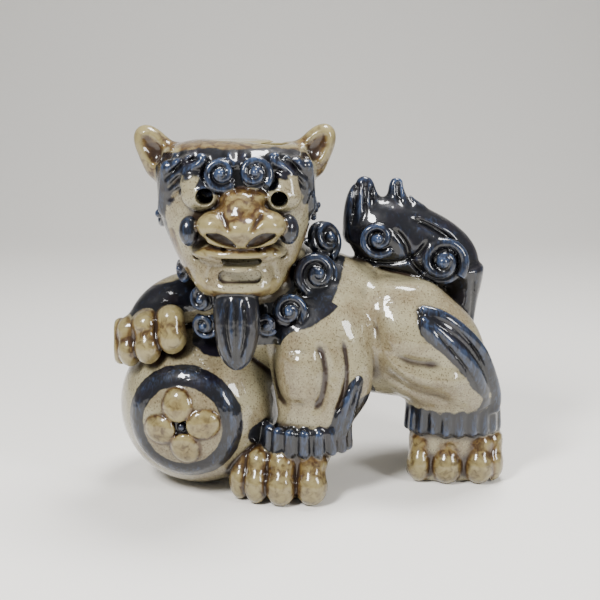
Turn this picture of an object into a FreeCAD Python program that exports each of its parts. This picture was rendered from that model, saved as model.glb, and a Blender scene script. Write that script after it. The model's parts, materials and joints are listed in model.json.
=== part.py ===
"""Foo dog statue: a glazed stoneware guardian lion with one forepaw on a ball.

The statue is modelled as the potter builds it.  Hollow castings (body, head, ball and legs) and solid sprigs
(ears, curls, toes, locks of fur) are luted together with slip before the firing, so neighbouring pieces meet
face to face and nothing moves.  Left and right are the lion's own: its left side faces -Y.

Units are millimetres, +Z is up, and the lion looks along -Y with its rump towards +X.  The pieces are placed
from the ball and the head, and the finished statue is then moved so that the origin is the middle of its
footprint, at the height of the table.
"""
import FreeCAD, Part
import math
import os
from collections import namedtuple

from FreeCAD import Matrix, Rotation, Vector

WALL = 4.5                          # thickness of the cast walls
GROUND = 0.0                        # height of the table, where every foot is ground flat
SECTION_POINTS = 12                 # points round one section of a lofted casting

BALL_RADIUS = 36.8
BALL_CENTRE = Vector(-45.3, 0.0, BALL_RADIUS - 0.7)   # the ball's foot is ground 0.7 mm flat
MEDALLION_TURN = -10.3              # degrees that the medallion faces away from -Y, towards -X
RING_INNER = 30.6                   # angles from the medallion's axis, in degrees
RING_OUTER = 42.4
RING_RAISE = 0.9

HEAD_CENTRE = Vector(-27.4, -10.0, 126.0)
HEAD_TURN = 5.0                     # degrees that the head turns from -Y towards +X

MID_Y = 9.0                         # the plane that splits the rump into left and right
CURL_SINK = 4.0                     # how deep the back of a curl sits in what carries it
CUT_REACH = 200.0                   # larger than the statue
MESH_FINENESS = 0.05                # for measuring the finished statue
FACET_CHECK = 0.2                   # facet size error when a cut piece is checked
FACET_TOLERANCE = 0.04              # part of a piece's volume that its facets may be out by

Slice = namedtuple("Slice", "at centre half")          # a section: place along the loft, centre, half sizes
Curl = namedtuple("Curl", "centre radius facing")
Stroke = namedtuple("Stroke", "start end radius")      # a round-ended lock, toe or finger of clay

statue = {}                         # node name -> shape, in the order of making
outsides = []                       # (node name, filled outer shape) pairs that later pieces are cut back to


# ---------------------------------------------------------------- plain shapes

def oval(centre, across, upward, half_across, half_up):
    """A closed smooth wire: an oval in the plane of the directions across and upward."""
    points = []
    for i in range(SECTION_POINTS):
        turn = 2 * math.pi * i / SECTION_POINTS
        points.append(centre + across * (half_across * math.cos(turn)) + upward * (half_up * math.sin(turn)))
    curve = Part.BSplineCurve()
    curve.interpolate(points, PeriodicFlag=True)
    return Part.Wire([curve.toShape()])


def upright_casting(slices, shrink=0.0):
    """A loft through level sections, listed from the bottom up: a leg, the head or the beard."""
    wires = []
    for s in slices:
        centre = Vector(s.centre[0], s.centre[1], s.at)
        wires.append(oval(centre, Vector(1, 0, 0), Vector(0, 1, 0), s.half[0] - shrink, s.half[1] - shrink))
    return Part.makeLoft(wires, True, False)


def lengthwise_casting(slices, shrink=0.0):
    """A loft through sections square to X, listed from the chest to the rump."""
    wires = []
    for s in slices:
        centre = Vector(s.at, s.centre[0], s.centre[1])
        wires.append(oval(centre, Vector(0, 1, 0), Vector(0, 0, 1), s.half[0] - shrink, s.half[1] - shrink))
    return Part.makeLoft(wires, True, False)


def bent_casting(path, radii, flatten=1.0):
    """A loft of round sections square to a path of points; flatten narrows it along Y."""
    wires = []
    for i, point in enumerate(path):
        ahead = path[min(i + 1, len(path) - 1)] - path[max(i - 1, 0)]
        ahead.normalize()
        side = Vector(0, 1, 0) - ahead * ahead.y
        side.normalize()
        wires.append(oval(point, side, side.cross(ahead), radii[i] * flatten, radii[i]))
    return Part.makeLoft(wires, True, False)


def ellipsoid(centre, half, turn=Rotation()):
    """An ellipsoid with half sizes along its own axes and its poles front and back, turned and then placed."""
    stretch = Matrix()
    stretch.scale(*half)
    shape = Part.makeSphere(1.0, Vector(), Vector(0, 1, 0)).transformGeometry(stretch)
    return moved(shape, centre, turn)


def moved(shape, centre, turn=Rotation()):
    shape = shape.copy()
    shape.Placement = FreeCAD.Placement(centre, turn)
    return shape


def round_ended(stroke, flatten=1.0):
    """A rod with domed ends, revolved in one piece, and flattened square to its length."""
    length = (stroke.end - stroke.start).Length
    radius = stroke.radius
    low = Part.Arc(Vector(0, 0, -radius), Vector(radius * math.sqrt(0.5), 0, -radius * math.sqrt(0.5)),
                   Vector(radius, 0, 0)).toShape()
    side = Part.makeLine(Vector(radius, 0, 0), Vector(radius, 0, length))
    high = Part.Arc(Vector(radius, 0, length), Vector(radius * math.sqrt(0.5), 0, length + radius * math.sqrt(0.5)),
                    Vector(0, 0, length + radius)).toShape()
    axis = Part.makeLine(Vector(0, 0, length + radius), Vector(0, 0, -radius))
    rod = Part.Face(Part.Wire([low, side, high, axis])).revolve(Vector(), Vector(0, 0, 1), 360)
    if flatten != 1.0:
        stretch = Matrix()
        stretch.scale(1.0, flatten, 1.0)
        rod = rod.transformGeometry(stretch)
    return moved(rod, stroke.start, Rotation(Vector(0, 0, 1), stroke.end - stroke.start))


def stepped_curl(curl):
    """A snail curl of two rounded steps and a domed knob, each higher and narrower, on a sunken stub."""
    radius = curl.radius
    steps = [radius, radius * 0.64, radius * 0.32]
    heights = [0.0, radius * 0.14, radius * 0.27]
    bulge = radius * 0.09
    edges = [Part.makeLine(Vector(0, 0, -CURL_SINK), Vector(radius, 0, -CURL_SINK)),
             Part.makeLine(Vector(radius, 0, -CURL_SINK), Vector(radius, 0, 0))]
    for outer, inner, low, high in zip(steps, steps[1:], heights, heights[1:]):
        crown = Vector((outer + inner) / 2 + bulge * 0.5, 0, (low + high) / 2 + bulge)
        edges.append(Part.Arc(Vector(outer, 0, low), crown, Vector(inner, 0, high)).toShape())
    rise = radius * 0.23
    dome = (steps[-1] ** 2 + rise ** 2) / (2 * rise)      # radius of the sphere that caps the knob
    top = heights[-1] + rise
    halfway = math.asin(steps[-1] / dome) / 2
    shoulder = Vector(dome * math.sin(halfway), 0, top - dome + dome * math.cos(halfway))
    edges.append(Part.Arc(Vector(steps[-1], 0, heights[-1]), shoulder, Vector(0, 0, top)).toShape())
    edges.append(Part.makeLine(Vector(0, 0, top), Vector(0, 0, -CURL_SINK)))
    shape = Part.Face(Part.Wire(edges)).revolve(Vector(), Vector(0, 0, 1), 360)
    return moved(shape, curl.centre, Rotation(Vector(0, 0, 1), curl.facing))


def mirrored(shape):
    """The twin of a shape on the other side of the rump's middle plane."""
    return shape.mirror(Vector(0, MID_Y, 0), Vector(0, 1, 0))


# ---------------------------------------------------------------- luting the pieces together

def touching(a, b):
    return a.BoundBox.intersect(b.BoundBox)


def biggest_solid(shape):
    return max(shape.Solids, key=lambda solid: solid.Volume)


def sound(solid):
    """Whether a solid is valid and its facets close round the volume that it claims."""
    points, facets = solid.tessellate(FACET_CHECK)
    enclosed = sum(points[a].dot(points[b].cross(points[c])) for a, b, c in facets) / 6
    return solid.isValid() and abs(enclosed - solid.Volume) < FACET_TOLERANCE * solid.Volume


def without(shape, outside, pair):
    """The shape cut back to an outside, moved by a hair first where the two surfaces graze each other.

    A sprig that still can't be cut stays pressed a little way into its neighbour, and the pair is printed.
    """
    for hair in (0.0, 0.07, -0.11, 0.16):
        placed = shape.copy()
        placed.translate(Vector(hair, -hair, hair))
        left = placed.cut(outside)
        if left.Solids and sound(biggest_solid(left)):
            return biggest_solid(left)
    print("pressed in:", *pair)
    return shape


def seated(name, shape):
    """The shape cut back to everything already in place and ground flat at the table."""
    for other, outside in outsides:
        if touching(shape, outside):
            shape = without(shape, outside, (name, other))
    if shape.BoundBox.ZMin < GROUND:
        low = Part.makeBox(2 * CUT_REACH, 2 * CUT_REACH, CUT_REACH, Vector(-CUT_REACH, -CUT_REACH, GROUND - CUT_REACH))
        shape = without(shape, low, (name, "table"))
    return shape


def lute(name, *shapes, hollow=None):
    """Adds a node of one or more pieces.  hollow is the cavity that a casting keeps inside."""
    solids = []
    for shape in shapes:
        solid = seated(name, shape)
        outsides.append((name, solid))
        solids.append(without(solid, hollow, (name, "its cavity")) if hollow else solid)
    statue[name] = solids[0] if len(solids) == 1 else Part.makeCompound(solids)


# ---------------------------------------------------------------- the castings

def torso():
    """The hollow body with its neck, and the pour hole under the belly."""
    slices = [
        Slice(-33.0, (4, 76), (9, 9)),
        Slice(-28.0, (4, 76), (19, 19)),
        Slice(-15.0, (5, 76), (25, 27)),
        Slice(0.0, (6, 76), (26, 30)),
        Slice(15.0, (7, 74), (26, 31)),
        Slice(30.0, (8, 69), (25, 30)),
        Slice(45.0, (MID_Y, 65), (25, 28.5)),
        Slice(60.0, (MID_Y, 62), (23, 25)),
        Slice(72.0, (MID_Y, 60), (17, 17)),
        Slice(79.0, (MID_Y, 58), (7, 7)),
    ]
    neck_centre = Vector(-19, 4, 97)
    neck_half = Vector(25, 23, 22)
    outside = lengthwise_casting(slices).fuse(ellipsoid(neck_centre, neck_half))
    inner_neck = ellipsoid(neck_centre, neck_half - Vector(WALL, WALL, WALL))
    inside = lengthwise_casting(slices[1:-1], WALL).fuse(inner_neck)
    pour_hole = Part.makeCylinder(6.0, 40.0, Vector(36, MID_Y, 20))
    lute("body_shell", outside, hollow=inside.fuse(pour_hole))


def head_point(x, y, z):
    """A point given from the head's centre, with X across the face and -Y out of it."""
    return HEAD_CENTRE + Rotation(Vector(0, 0, 1), HEAD_TURN).multVec(Vector(x, y, z))


def head_facing(x, y, z):
    return Rotation(Vector(0, 0, 1), HEAD_TURN).multVec(Vector(x, y, z))


def on_head(shape):
    return moved(shape, HEAD_CENTRE, Rotation(Vector(0, 0, 1), HEAD_TURN).multiply(shape.Placement.Rotation))


PUPILS = {"left": Vector(15.6, -26, 10.0), "right": Vector(-14.6, -26, 10.0)}
SIDES = {"left": 1, "right": -1}


def head_slices():
    return [
        Slice(-33.0, (0, -9), (15, 11)),
        Slice(-28.0, (0, -7), (20.5, 16)),
        Slice(-18.0, (0, -4), (26, 20)),
        Slice(-8.0, (0, -1), (30.5, 23)),
        Slice(3.0, (0, 0), (33.5, 25)),
        Slice(14.0, (0, 0), (34, 25)),
        Slice(24.0, (0, 0), (31.5, 23)),
        Slice(29.0, (0, 0), (26, 17)),
        Slice(31.5, (0, 0), (14, 8)),
    ]


def head():
    """The hollow head, with the eye holes, nostrils and mouth slot open into it."""
    outside = on_head(upright_casting(head_slices()))
    inside = on_head(upright_casting(head_slices()[1:-1], WALL))
    lute("head_shell", outside, hollow=inside.fuse(face_holes()))


def face_holes():
    """The pupils, the nostrils and the mouth slot as cutting shapes, in place."""
    holes = []
    for side, sign in SIDES.items():
        pupil = PUPILS[side]
        eye_hole = Part.makeCylinder(3.4, 30.0, Vector(), Vector(0, 1, 0))
        holes.append(moved(eye_hole, head_point(pupil.x, -36, pupil.z), Rotation(Vector(0, 0, 1), HEAD_TURN)))
        start = head_point(sign * 8.6, -48, -10.5)
        end = head_point(sign * 5.0, -18, -4)
        holes.append(round_ended(Stroke(start, end, 2.6), 1.6))
    slot = Part.makeBox(13.5, 30.0, 3.6, Vector(-6.75, 0, 0))
    holes.append(moved(slot, head_point(-0.0, -46, -17.5), Rotation(Vector(0, 0, 1), HEAD_TURN)))
    return holes[0].multiFuse(holes[1:])


def ears():
    """Two leaf-shaped ears, hollowed on the face side, leaning up and out from the crown's corners."""
    for side, sign in SIDES.items():
        lean = Rotation(Vector(0, 1, 0), sign * 45)
        turn = Rotation(Vector(0, 0, 1), HEAD_TURN).multiply(lean)
        centre = head_point(sign * 31.0, 6, 25.0)
        leaf = ellipsoid(centre, Vector(11.0, 7.0, 13.5), turn)
        scoop_centre = centre + turn.multVec(Vector(-sign * 1.0, -8.6, 3.5))
        scoop = ellipsoid(scoop_centre, Vector(7.5, 6.0, 9.5), turn)
        lute(side + "_ear", leaf.cut(scoop))


def eyes():
    """Bulging teardrop eyeballs with round pupil holes that open into the hollow head."""
    for side, sign in SIDES.items():
        centre = head_point(sign * 18.0, -20.5, 9.0)
        ball = ellipsoid(centre, Vector(7.2, 6.6, 8.2))
        point = ellipsoid(head_point(sign * 19.5, -20.0, 15.5), Vector(3.6, 4.4, 5.6))
        lute(side + "_eyeball", ball.fuse(point), hollow=face_holes())


def brows():
    """A snail curl over each eye and four locks that sweep back over the temple."""
    for side, sign in SIDES.items():
        curl = Curl(head_point(sign * 6.8, -25.0, 20.0), 7.6, head_facing(sign * 0.1, -1, 0.3))
        lute(side + "_brow_curl", stepped_curl(curl))
    for side, sign in SIDES.items():
        locks = []
        for i in range(4):
            start = head_point(sign * (15 + 4.6 * i), -21.5 + 2.4 * i, 25.0 - 1.2 * i)
            end = head_point(sign * (20 + 3.6 * i), -21.0 + 4.6 * i, 18.5 - 5.2 * i)
            locks.append(round_ended(Stroke(start, end, 3.2)))
        lute(side + "_brow_locks", *locks)


def muzzle():
    """The nose with its wings, the moustache knobs, the upper lip, the jaw and the tongue."""
    bridge = ellipsoid(head_point(0, -28, 4.5), Vector(13.5, 14, 7.5), Rotation(Vector(1, 0, 0), 30))
    tip = ellipsoid(head_point(0, -34, -2.5), Vector(9, 10, 7.5))
    wings = [ellipsoid(head_point(sign * 11.5, -31.5, -3.0), Vector(6.4, 8.5, 7.4)) for sign in SIDES.values()]
    lute("nose", bridge.multiFuse([tip] + wings), hollow=face_holes())
    for side, sign in SIDES.items():
        knob = ellipsoid(head_point(sign * 20.5, -25.5, -3.5), Vector(4.3, 5.5, 6.4))
        lute(side + "_moustache_knob", knob)
    lip = ellipsoid(head_point(0, -22, -13.0), Vector(20, 12.5, 5.0))
    lute("upper_lip", lip, hollow=face_holes())
    jaw_slices = [
        Slice(-32.5, (0, -14), (15.5, 11)),
        Slice(-29.0, (0, -14), (18.5, 14.5)),
        Slice(-22.0, (0, -13), (20.5, 15.5)),
        Slice(-17.0, (0, -12), (20.5, 15.5)),
    ]
    lute("lower_jaw", on_head(upright_casting(jaw_slices)), hollow=face_holes())
    lute("tongue", ellipsoid(head_point(0, -27.5, -19.3), Vector(7.2, 5.0, 2.4)), hollow=face_holes())


def beard():
    slices = [
        Slice(63.0, (-26.8, -37), (2.0, 2.0)),
        Slice(66.0, (-26.8, -36.5), (5.5, 4.5)),
        Slice(74.0, (-26.8, -35), (8.8, 7.5)),
        Slice(84.0, (-26.8, -33), (10.0, 9.0)),
        Slice(93.0, (-26.8, -31), (9.0, 9.0)),
        Slice(98.0, (-26.8, -29), (6.0, 6.0)),
    ]
    lute("beard", upright_casting(slices))


# Each curl sits on the neck, the shoulders or the back of the head, and faces away from them.
MANE_CURLS = {
    "mane_curl_cheek": Curl(Vector(7.0, -14.0, 98.5), 11.0, Vector(0.3, -1, 0.15)),
    "mane_curl_throat": Curl(Vector(-5.0, -24.5, 85.5), 8.0, Vector(0.1, -1, 0.1)),
    "mane_curl_collar": Curl(Vector(-14.5, -27.5, 80.0), 5.2, Vector(-0.1, -1, -0.1)),
    "mane_curl_nape_left": Curl(Vector(11.0, -2.0, 112.5), 9.2, Vector(0.75, -0.75, 0.35)),
    "mane_curl_ear_left": Curl(Vector(5.5, 6.0, 126.0), 6.5, Vector(1, 0.0, 0.1)),
    "mane_curl_temple_right": Curl(Vector(-57.0, -9.0, 126.0), 9.0, Vector(-1, -0.35, 0.1)),
    "mane_curl_cheek_right": Curl(Vector(-50.5, -12.0, 101.5), 6.6, Vector(-1, -0.6, 0.1)),
    "mane_curl_paw": Curl(Vector(-42.0, -23.0, 90.5), 6.8, Vector(-0.35, -1, 0.1)),
    "mane_curl_ball": Curl(Vector(-41.5, -23.0, 79.0), 6.2, Vector(-0.3, -1, -0.1)),
    "mane_curl_crown_back": Curl(Vector(-28.0, 14.0, 141.0), 10.0, Vector(0, 1, 0.45)),
    "mane_curl_back_left": Curl(Vector(-10.0, 14.5, 126.0), 9.5, Vector(0.4, 1, 0.1)),
    "mane_curl_back_right": Curl(Vector(-46.0, 13.0, 127.0), 9.5, Vector(-0.5, 1, 0.1)),
    "mane_curl_nape": Curl(Vector(-28.0, 19.0, 115.0), 10.5, Vector(-0.1, 1, 0.2)),
    "mane_curl_neck_left": Curl(Vector(-5.0, 22.0, 106.0), 10.0, Vector(0.4, 1, 0.35)),
    "mane_curl_neck_right": Curl(Vector(-41.0, 15.0, 103.0), 8.5, Vector(-0.8, 1, 0.1)),
    "mane_curl_shoulder": Curl(Vector(-22.0, 27.0, 92.0), 9.0, Vector(-0.1, 1, 0.1)),
}


def mane():
    for name, curl in MANE_CURLS.items():
        lute(name, stepped_curl(curl))


def leg_cavity(slices):
    """The hollow of a cast leg, closed above the foot and below the seam with the body."""
    return upright_casting(slices[2:6], WALL)


def left_foreleg():
    slices = [
        Slice(0.0, (-7, -20), (17, 10)),
        Slice(6.0, (-7, -20), (18, 11.5)),
        Slice(14.0, (-5.5, -20.5), (18, 12)),
        Slice(24.0, (0, -20.5), (17.5, 12)),
        Slice(34.0, (6.5, -20.5), (17, 12)),
        Slice(44.0, (9.5, -20), (20.5, 13)),
        Slice(56.0, (9.5, -19), (22.7, 13.5)),
        Slice(68.0, (8.5, -17), (22.7, 14)),
        Slice(80.0, (9, -13), (20.5, 14)),
        Slice(91.0, (10, -8), (14, 11)),
        Slice(96.0, (10, -5), (6, 6)),
    ]
    lute("left_foreleg", upright_casting(slices), hollow=leg_cavity(slices))


def right_foreleg():
    """The raised foreleg, reaching forward over the ball."""
    path = [Vector(-14, 10, 80), Vector(-28, 10, 83), Vector(-43, 6, 84.5), Vector(-56, -1, 84),
            Vector(-66, -9, 79), Vector(-71.5, -15.5, 73)]
    radii = [11, 13, 12.5, 11.5, 9.5, 5.5]
    back_of_paw = ellipsoid(Vector(-66, -12, 76), Vector(15, 10.5, 9.5), Rotation(Vector(0, 1, 0), -25))
    cavity = bent_casting(path[1:-1], [radius - WALL for radius in radii[1:-1]])
    lute("right_foreleg", bent_casting(path, radii).fuse(back_of_paw), hollow=cavity)


LEFT_HIND_SLICES = [
    Slice(0.0, (68.5, -1), (18, 9)),
    Slice(6.0, (69, -1), (19.5, 10.5)),
    Slice(16.0, (70, -1), (19.5, 11)),
    Slice(26.0, (70.5, 0), (20, 12)),
    Slice(35.0, (70, -1), (20.3, 13)),
    Slice(43.0, (67, -4), (22.7, 15.5)),
    Slice(53.0, (61, -6), (25, 17.5)),
    Slice(65.0, (56, -7), (26.5, 18.5)),
    Slice(78.0, (51, -6), (25, 17.5)),
    Slice(89.0, (46, -3), (18, 13)),
    Slice(94.0, (44, -1), (8, 7)),
]
RIGHT_HIND_SHIFT = Vector(4, 29, 0)      # the right hind foot stands behind the left one and points the same way
RIGHT_HIND_Y = [28, 28, 28, 28, 27, 25, 24, 24, 23, 20, 17]


def hind_legs():
    right_slices = []
    for s, y in zip(LEFT_HIND_SLICES, RIGHT_HIND_Y):
        shift = RIGHT_HIND_SHIFT.x if s.at < 40 else 0.0
        right_slices.append(Slice(s.at, (s.centre[0] + shift, y), (s.half[0], s.half[1] - 1)))
    for side, slices in (("left", LEFT_HIND_SLICES), ("right", right_slices)):
        lute(side + "_hind_leg", upright_casting(slices), hollow=leg_cavity(slices))


Toe = namedtuple("Toe", "centre half")

LEFT_FORE_TOES = [
    Toe(Vector(5.0, -33, 7.5), Vector(6.7, 7.5, 8.3)),
    Toe(Vector(-8.5, -33.5, 8.0), Vector(6.8, 7.5, 8.7)),
    Toe(Vector(-19.2, -30.5, 8.3), Vector(5.2, 7.5, 8.6)),
    Toe(Vector(-26.5, -25.5, 9.5), Vector(5.0, 7.0, 9.5)),
    Toe(Vector(6.0, -28, 17.0), Vector(7.2, 6.5, 5.0)),
    Toe(Vector(-7.0, -29, 18.0), Vector(6.6, 6.5, 5.2)),
    Toe(Vector(-17.0, -27, 19.0), Vector(5.4, 6.0, 5.0)),
    Toe(Vector(-23.5, -22, 20.5), Vector(5.0, 6.0, 4.5)),
]
LEFT_HIND_TOES = [
    Toe(Vector(48.4, -5.5, 8.0), Vector(5.0, 7.0, 8.3)),
    Toe(Vector(60.9, -9.5, 8.0), Vector(6.8, 7.5, 8.8)),
    Toe(Vector(75.4, -9.5, 8.0), Vector(6.8, 7.5, 8.8)),
    Toe(Vector(87.6, -5.0, 8.0), Vector(5.4, 7.0, 8.6)),
    Toe(Vector(50.0, -5.5, 19.5), Vector(4.6, 6.0, 4.8)),
    Toe(Vector(60.8, -8.0, 20.3), Vector(6.6, 6.5, 5.0)),
    Toe(Vector(74.8, -8.0, 20.3), Vector(6.8, 6.5, 5.0)),
    Toe(Vector(85.8, -5.0, 19.0), Vector(5.6, 6.0, 5.0)),
]
RIGHT_FORE_TOES = [
    Toe(Vector(-55.7, -23.5, 76.0), Vector(6.9, 7.5, 9.4)),
    Toe(Vector(-66.2, -23.0, 69.8), Vector(6.0, 7.0, 8.0)),
    Toe(Vector(-75.5, -18.0, 65.8), Vector(5.0, 6.5, 7.6)),
    Toe(Vector(-80.8, -11.0, 64.0), Vector(4.0, 6.0, 8.5)),
    Toe(Vector(-67.8, -19.5, 80.5), Vector(5.4, 5.6, 5.4)),
    Toe(Vector(-76.8, -14.0, 75.2), Vector(4.8, 5.2, 4.8)),
]


def paws():
    """Four toes to a paw, each with its knuckle above it; the raised paw lays its toes on the ball."""
    paw = [ellipsoid(toe.centre, toe.half) for toe in LEFT_FORE_TOES]
    lute("left_forepaw_toes", *paw)
    lute("right_forepaw_toes", *[ellipsoid(toe.centre, toe.half) for toe in RIGHT_FORE_TOES])
    lute("left_hind_toes", *[ellipsoid(toe.centre, toe.half) for toe in LEFT_HIND_TOES])
    lute("right_hind_toes", *[ellipsoid(toe.centre + RIGHT_HIND_SHIFT, toe.half) for toe in LEFT_HIND_TOES])


def cuff_lock(centre, half, turn, low, high, radius):
    """One upright lock of a fur cuff, on the oval of the given half sizes round a leg."""
    spread = Vector(math.sin(turn) * half[0], -math.cos(turn) * half[1], 0)
    return round_ended(Stroke(centre + spread + Vector(0, 0, low), centre + spread * 0.97 + Vector(0, 0, high), radius))


LEFT_ELBOW_FLAME = [Vector(26, -25, 59), Vector(22.5, -28.5, 52), Vector(19.5, -29.5, 43),
                    Vector(17, -29, 34.5), Vector(14.5, -28.5, 30)]
LEFT_RUMP_FLAMES = [
    [Vector(52, -20.5, 85.5), Vector(60, -21.5, 81), Vector(70, -20.5, 74), Vector(79, -16, 63),
     Vector(84.5, -11.5, 50), Vector(87, -8, 40), Vector(87.5, -8, 34)],
    [Vector(52.5, -22.5, 82), Vector(59, -23.5, 74), Vector(67, -22.5, 67), Vector(74, -20, 58),
     Vector(79.5, -14.5, 46.5), Vector(82, -11, 38)],
]


def fur():
    """Cuffs of upright locks above the standing paws, and flame tufts behind the elbow and on the rumps."""
    fore = [cuff_lock(Vector(3, -21, 0), (18.5, 12.5), math.radians(a), 24, 32, 2.6) for a in range(-84, 95, 20)]
    lute("left_fore_cuff", *fore)
    hind = [cuff_lock(Vector(70.3, 0, 0), (20.5, 12.5), math.radians(a), 25.5, 34, 2.6) for a in range(-80, 80, 17)]
    lute("left_hind_cuff", *hind)
    lute("right_hind_cuff", *[moved(lock, RIGHT_HIND_SHIFT + lock.Placement.Base, lock.Placement.Rotation)
                              for lock in hind])
    lute("left_elbow_flame", bent_casting(LEFT_ELBOW_FLAME, [1.2, 3.6, 4.6, 4.6, 3.6], 0.7))
    flames = [bent_casting(path, [1.2] + [4.2] * (len(path) - 2) + [3.0], 0.7) for path in LEFT_RUMP_FLAMES]
    lute("left_rump_flames", *flames)
    lute("right_rump_flames", *[mirrored(flame) for flame in flames])


TAIL_Y = 13.0                       # the plane that the tail stands in


def tail():
    """The stem rises from the rump and folds forward into a plume with two flames and four curls."""
    stem_path = [Vector(72, TAIL_Y - 3, 64), Vector(75, TAIL_Y - 1, 71), Vector(75.5, TAIL_Y, 79),
                 Vector(76.3, TAIL_Y, 88), Vector(75, TAIL_Y, 96)]
    stem = bent_casting(stem_path, [4.5, 5.2, 6.0, 7.0, 9.0], 1.1)
    plume_path = [Vector(77, TAIL_Y, 93), Vector(73, TAIL_Y, 97), Vector(63.5, TAIL_Y, 102.5),
                  Vector(50, TAIL_Y, 108.4), Vector(37.3, TAIL_Y, 112.6), Vector(28.2, TAIL_Y, 115.5),
                  Vector(22.5, TAIL_Y, 117.3)]
    plume = bent_casting(plume_path, [7, 11.5, 15.5, 17, 16.5, 12.5, 6.5], 0.74)
    front_flame = bent_casting([Vector(29, TAIL_Y, 110), Vector(28, TAIL_Y, 120), Vector(28.2, TAIL_Y, 127.3),
                                Vector(29, TAIL_Y, 134), Vector(30, TAIL_Y, 138)], [9, 8.6, 7.6, 5.2, 2.2], 0.8)
    rear_flame = bent_casting([Vector(60, TAIL_Y, 108), Vector(52.5, TAIL_Y, 118), Vector(45.5, TAIL_Y, 127),
                               Vector(43.4, TAIL_Y, 134), Vector(43.2, TAIL_Y, 137.5)], [8, 7.5, 5.4, 3.8, 2.0], 0.8)
    lute("tail_plume", plume)
    lute("tail_stem", stem)
    lute("tail_front_flame", front_flame)
    lute("tail_rear_flame", rear_flame)
    face = 11.0
    near_front = Curl(Vector(35.5, TAIL_Y - face, 112), 9.0, Vector(0, -1, 0.1))
    near_rear = Curl(Vector(63.5, TAIL_Y - face + 1, 101.5), 12.0, Vector(0, -1, 0.1))
    for name, curl in (("tail_curl_front", near_front), ("tail_curl_rear", near_rear)):
        lute(name + "_left", stepped_curl(curl))
        far_centre = Vector(curl.centre.x, 2 * TAIL_Y - curl.centre.y, curl.centre.z)
        lute(name + "_right", stepped_curl(Curl(far_centre, curl.radius, Vector(0, 1, 0.1))))


def ball():
    """The hollow ball, with a raised ring round a four-petalled medallion."""
    sphere = moved(Part.makeSphere(BALL_RADIUS), BALL_CENTRE)
    lute("ball_shell", sphere, hollow=moved(Part.makeSphere(BALL_RADIUS - WALL), BALL_CENTRE))
    outward = Rotation(Vector(0, 0, 1), MEDALLION_TURN).multVec(Vector(0, -1, 0))
    facing = Rotation(Vector(0, 0, 1), outward)

    def on_sphere(radius, degrees):
        return Vector(radius * math.sin(math.radians(degrees)), 0, radius * math.cos(math.radians(degrees)))

    middle = (RING_INNER + RING_OUTER) / 2
    sunk, raised = BALL_RADIUS - 1.0, BALL_RADIUS + RING_RAISE
    ring = Part.Face(Part.Wire([
        Part.Arc(on_sphere(sunk, RING_INNER), on_sphere(sunk, middle), on_sphere(sunk, RING_OUTER)).toShape(),
        Part.makeLine(on_sphere(sunk, RING_OUTER), on_sphere(BALL_RADIUS, RING_OUTER)),
        Part.Arc(on_sphere(BALL_RADIUS, RING_OUTER), on_sphere(raised, middle),
                 on_sphere(BALL_RADIUS, RING_INNER)).toShape(),
        Part.makeLine(on_sphere(BALL_RADIUS, RING_INNER), on_sphere(sunk, RING_INNER)),
    ])).revolve(Vector(), Vector(0, 0, 1), 360)
    lute("ball_ring", moved(ring, BALL_CENTRE, facing))
    petals = []
    for quarter in range(4):
        turn = Rotation(outward, 90 * quarter)
        lean = turn.multVec(Vector(0, 0, 1)) * math.sin(math.radians(17.5)) + outward * math.cos(math.radians(17.5))
        seat = Rotation(Vector(0, 0, 1), lean)
        petals.append(ellipsoid(BALL_CENTRE + lean * (BALL_RADIUS - 0.6), Vector(6.6, 6.2, 3.4), seat))
    lute("ball_petals", *petals)


def build():
    ball()
    torso()
    head()
    left_foreleg()
    hind_legs()
    right_foreleg()
    paws()
    ears()
    brows()
    eyes()
    muzzle()
    beard()
    mane()
    tail()
    fur()


def footprint_centre():
    """The middle of the statue's outline seen from above, at the height of its lowest point."""
    points = []
    for shape in statue.values():
        points += shape.tessellate(MESH_FINENESS)[0]
    low = [min(p[axis] for p in points) for axis in range(3)]
    high = [max(p[axis] for p in points) for axis in range(3)]
    centre = Vector((low[0] + high[0]) / 2, (low[1] + high[1]) / 2, low[2])
    print("statue is", [round(h - l, 2) for l, h in zip(low, high)], "mm, centred on", centre)
    return centre


def write_parts():
    """Moves the statue over the origin and writes one STEP file per node."""
    os.makedirs("parts", exist_ok=True)
    centre = footprint_centre()
    for name, shape in statue.items():
        shape = shape.copy()
        shape.translate(-centre)
        if not shape.isValid():
            print("not valid:", name)
        shape.exportStep("parts/" + name + ".step")


build()
write_parts()
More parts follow.
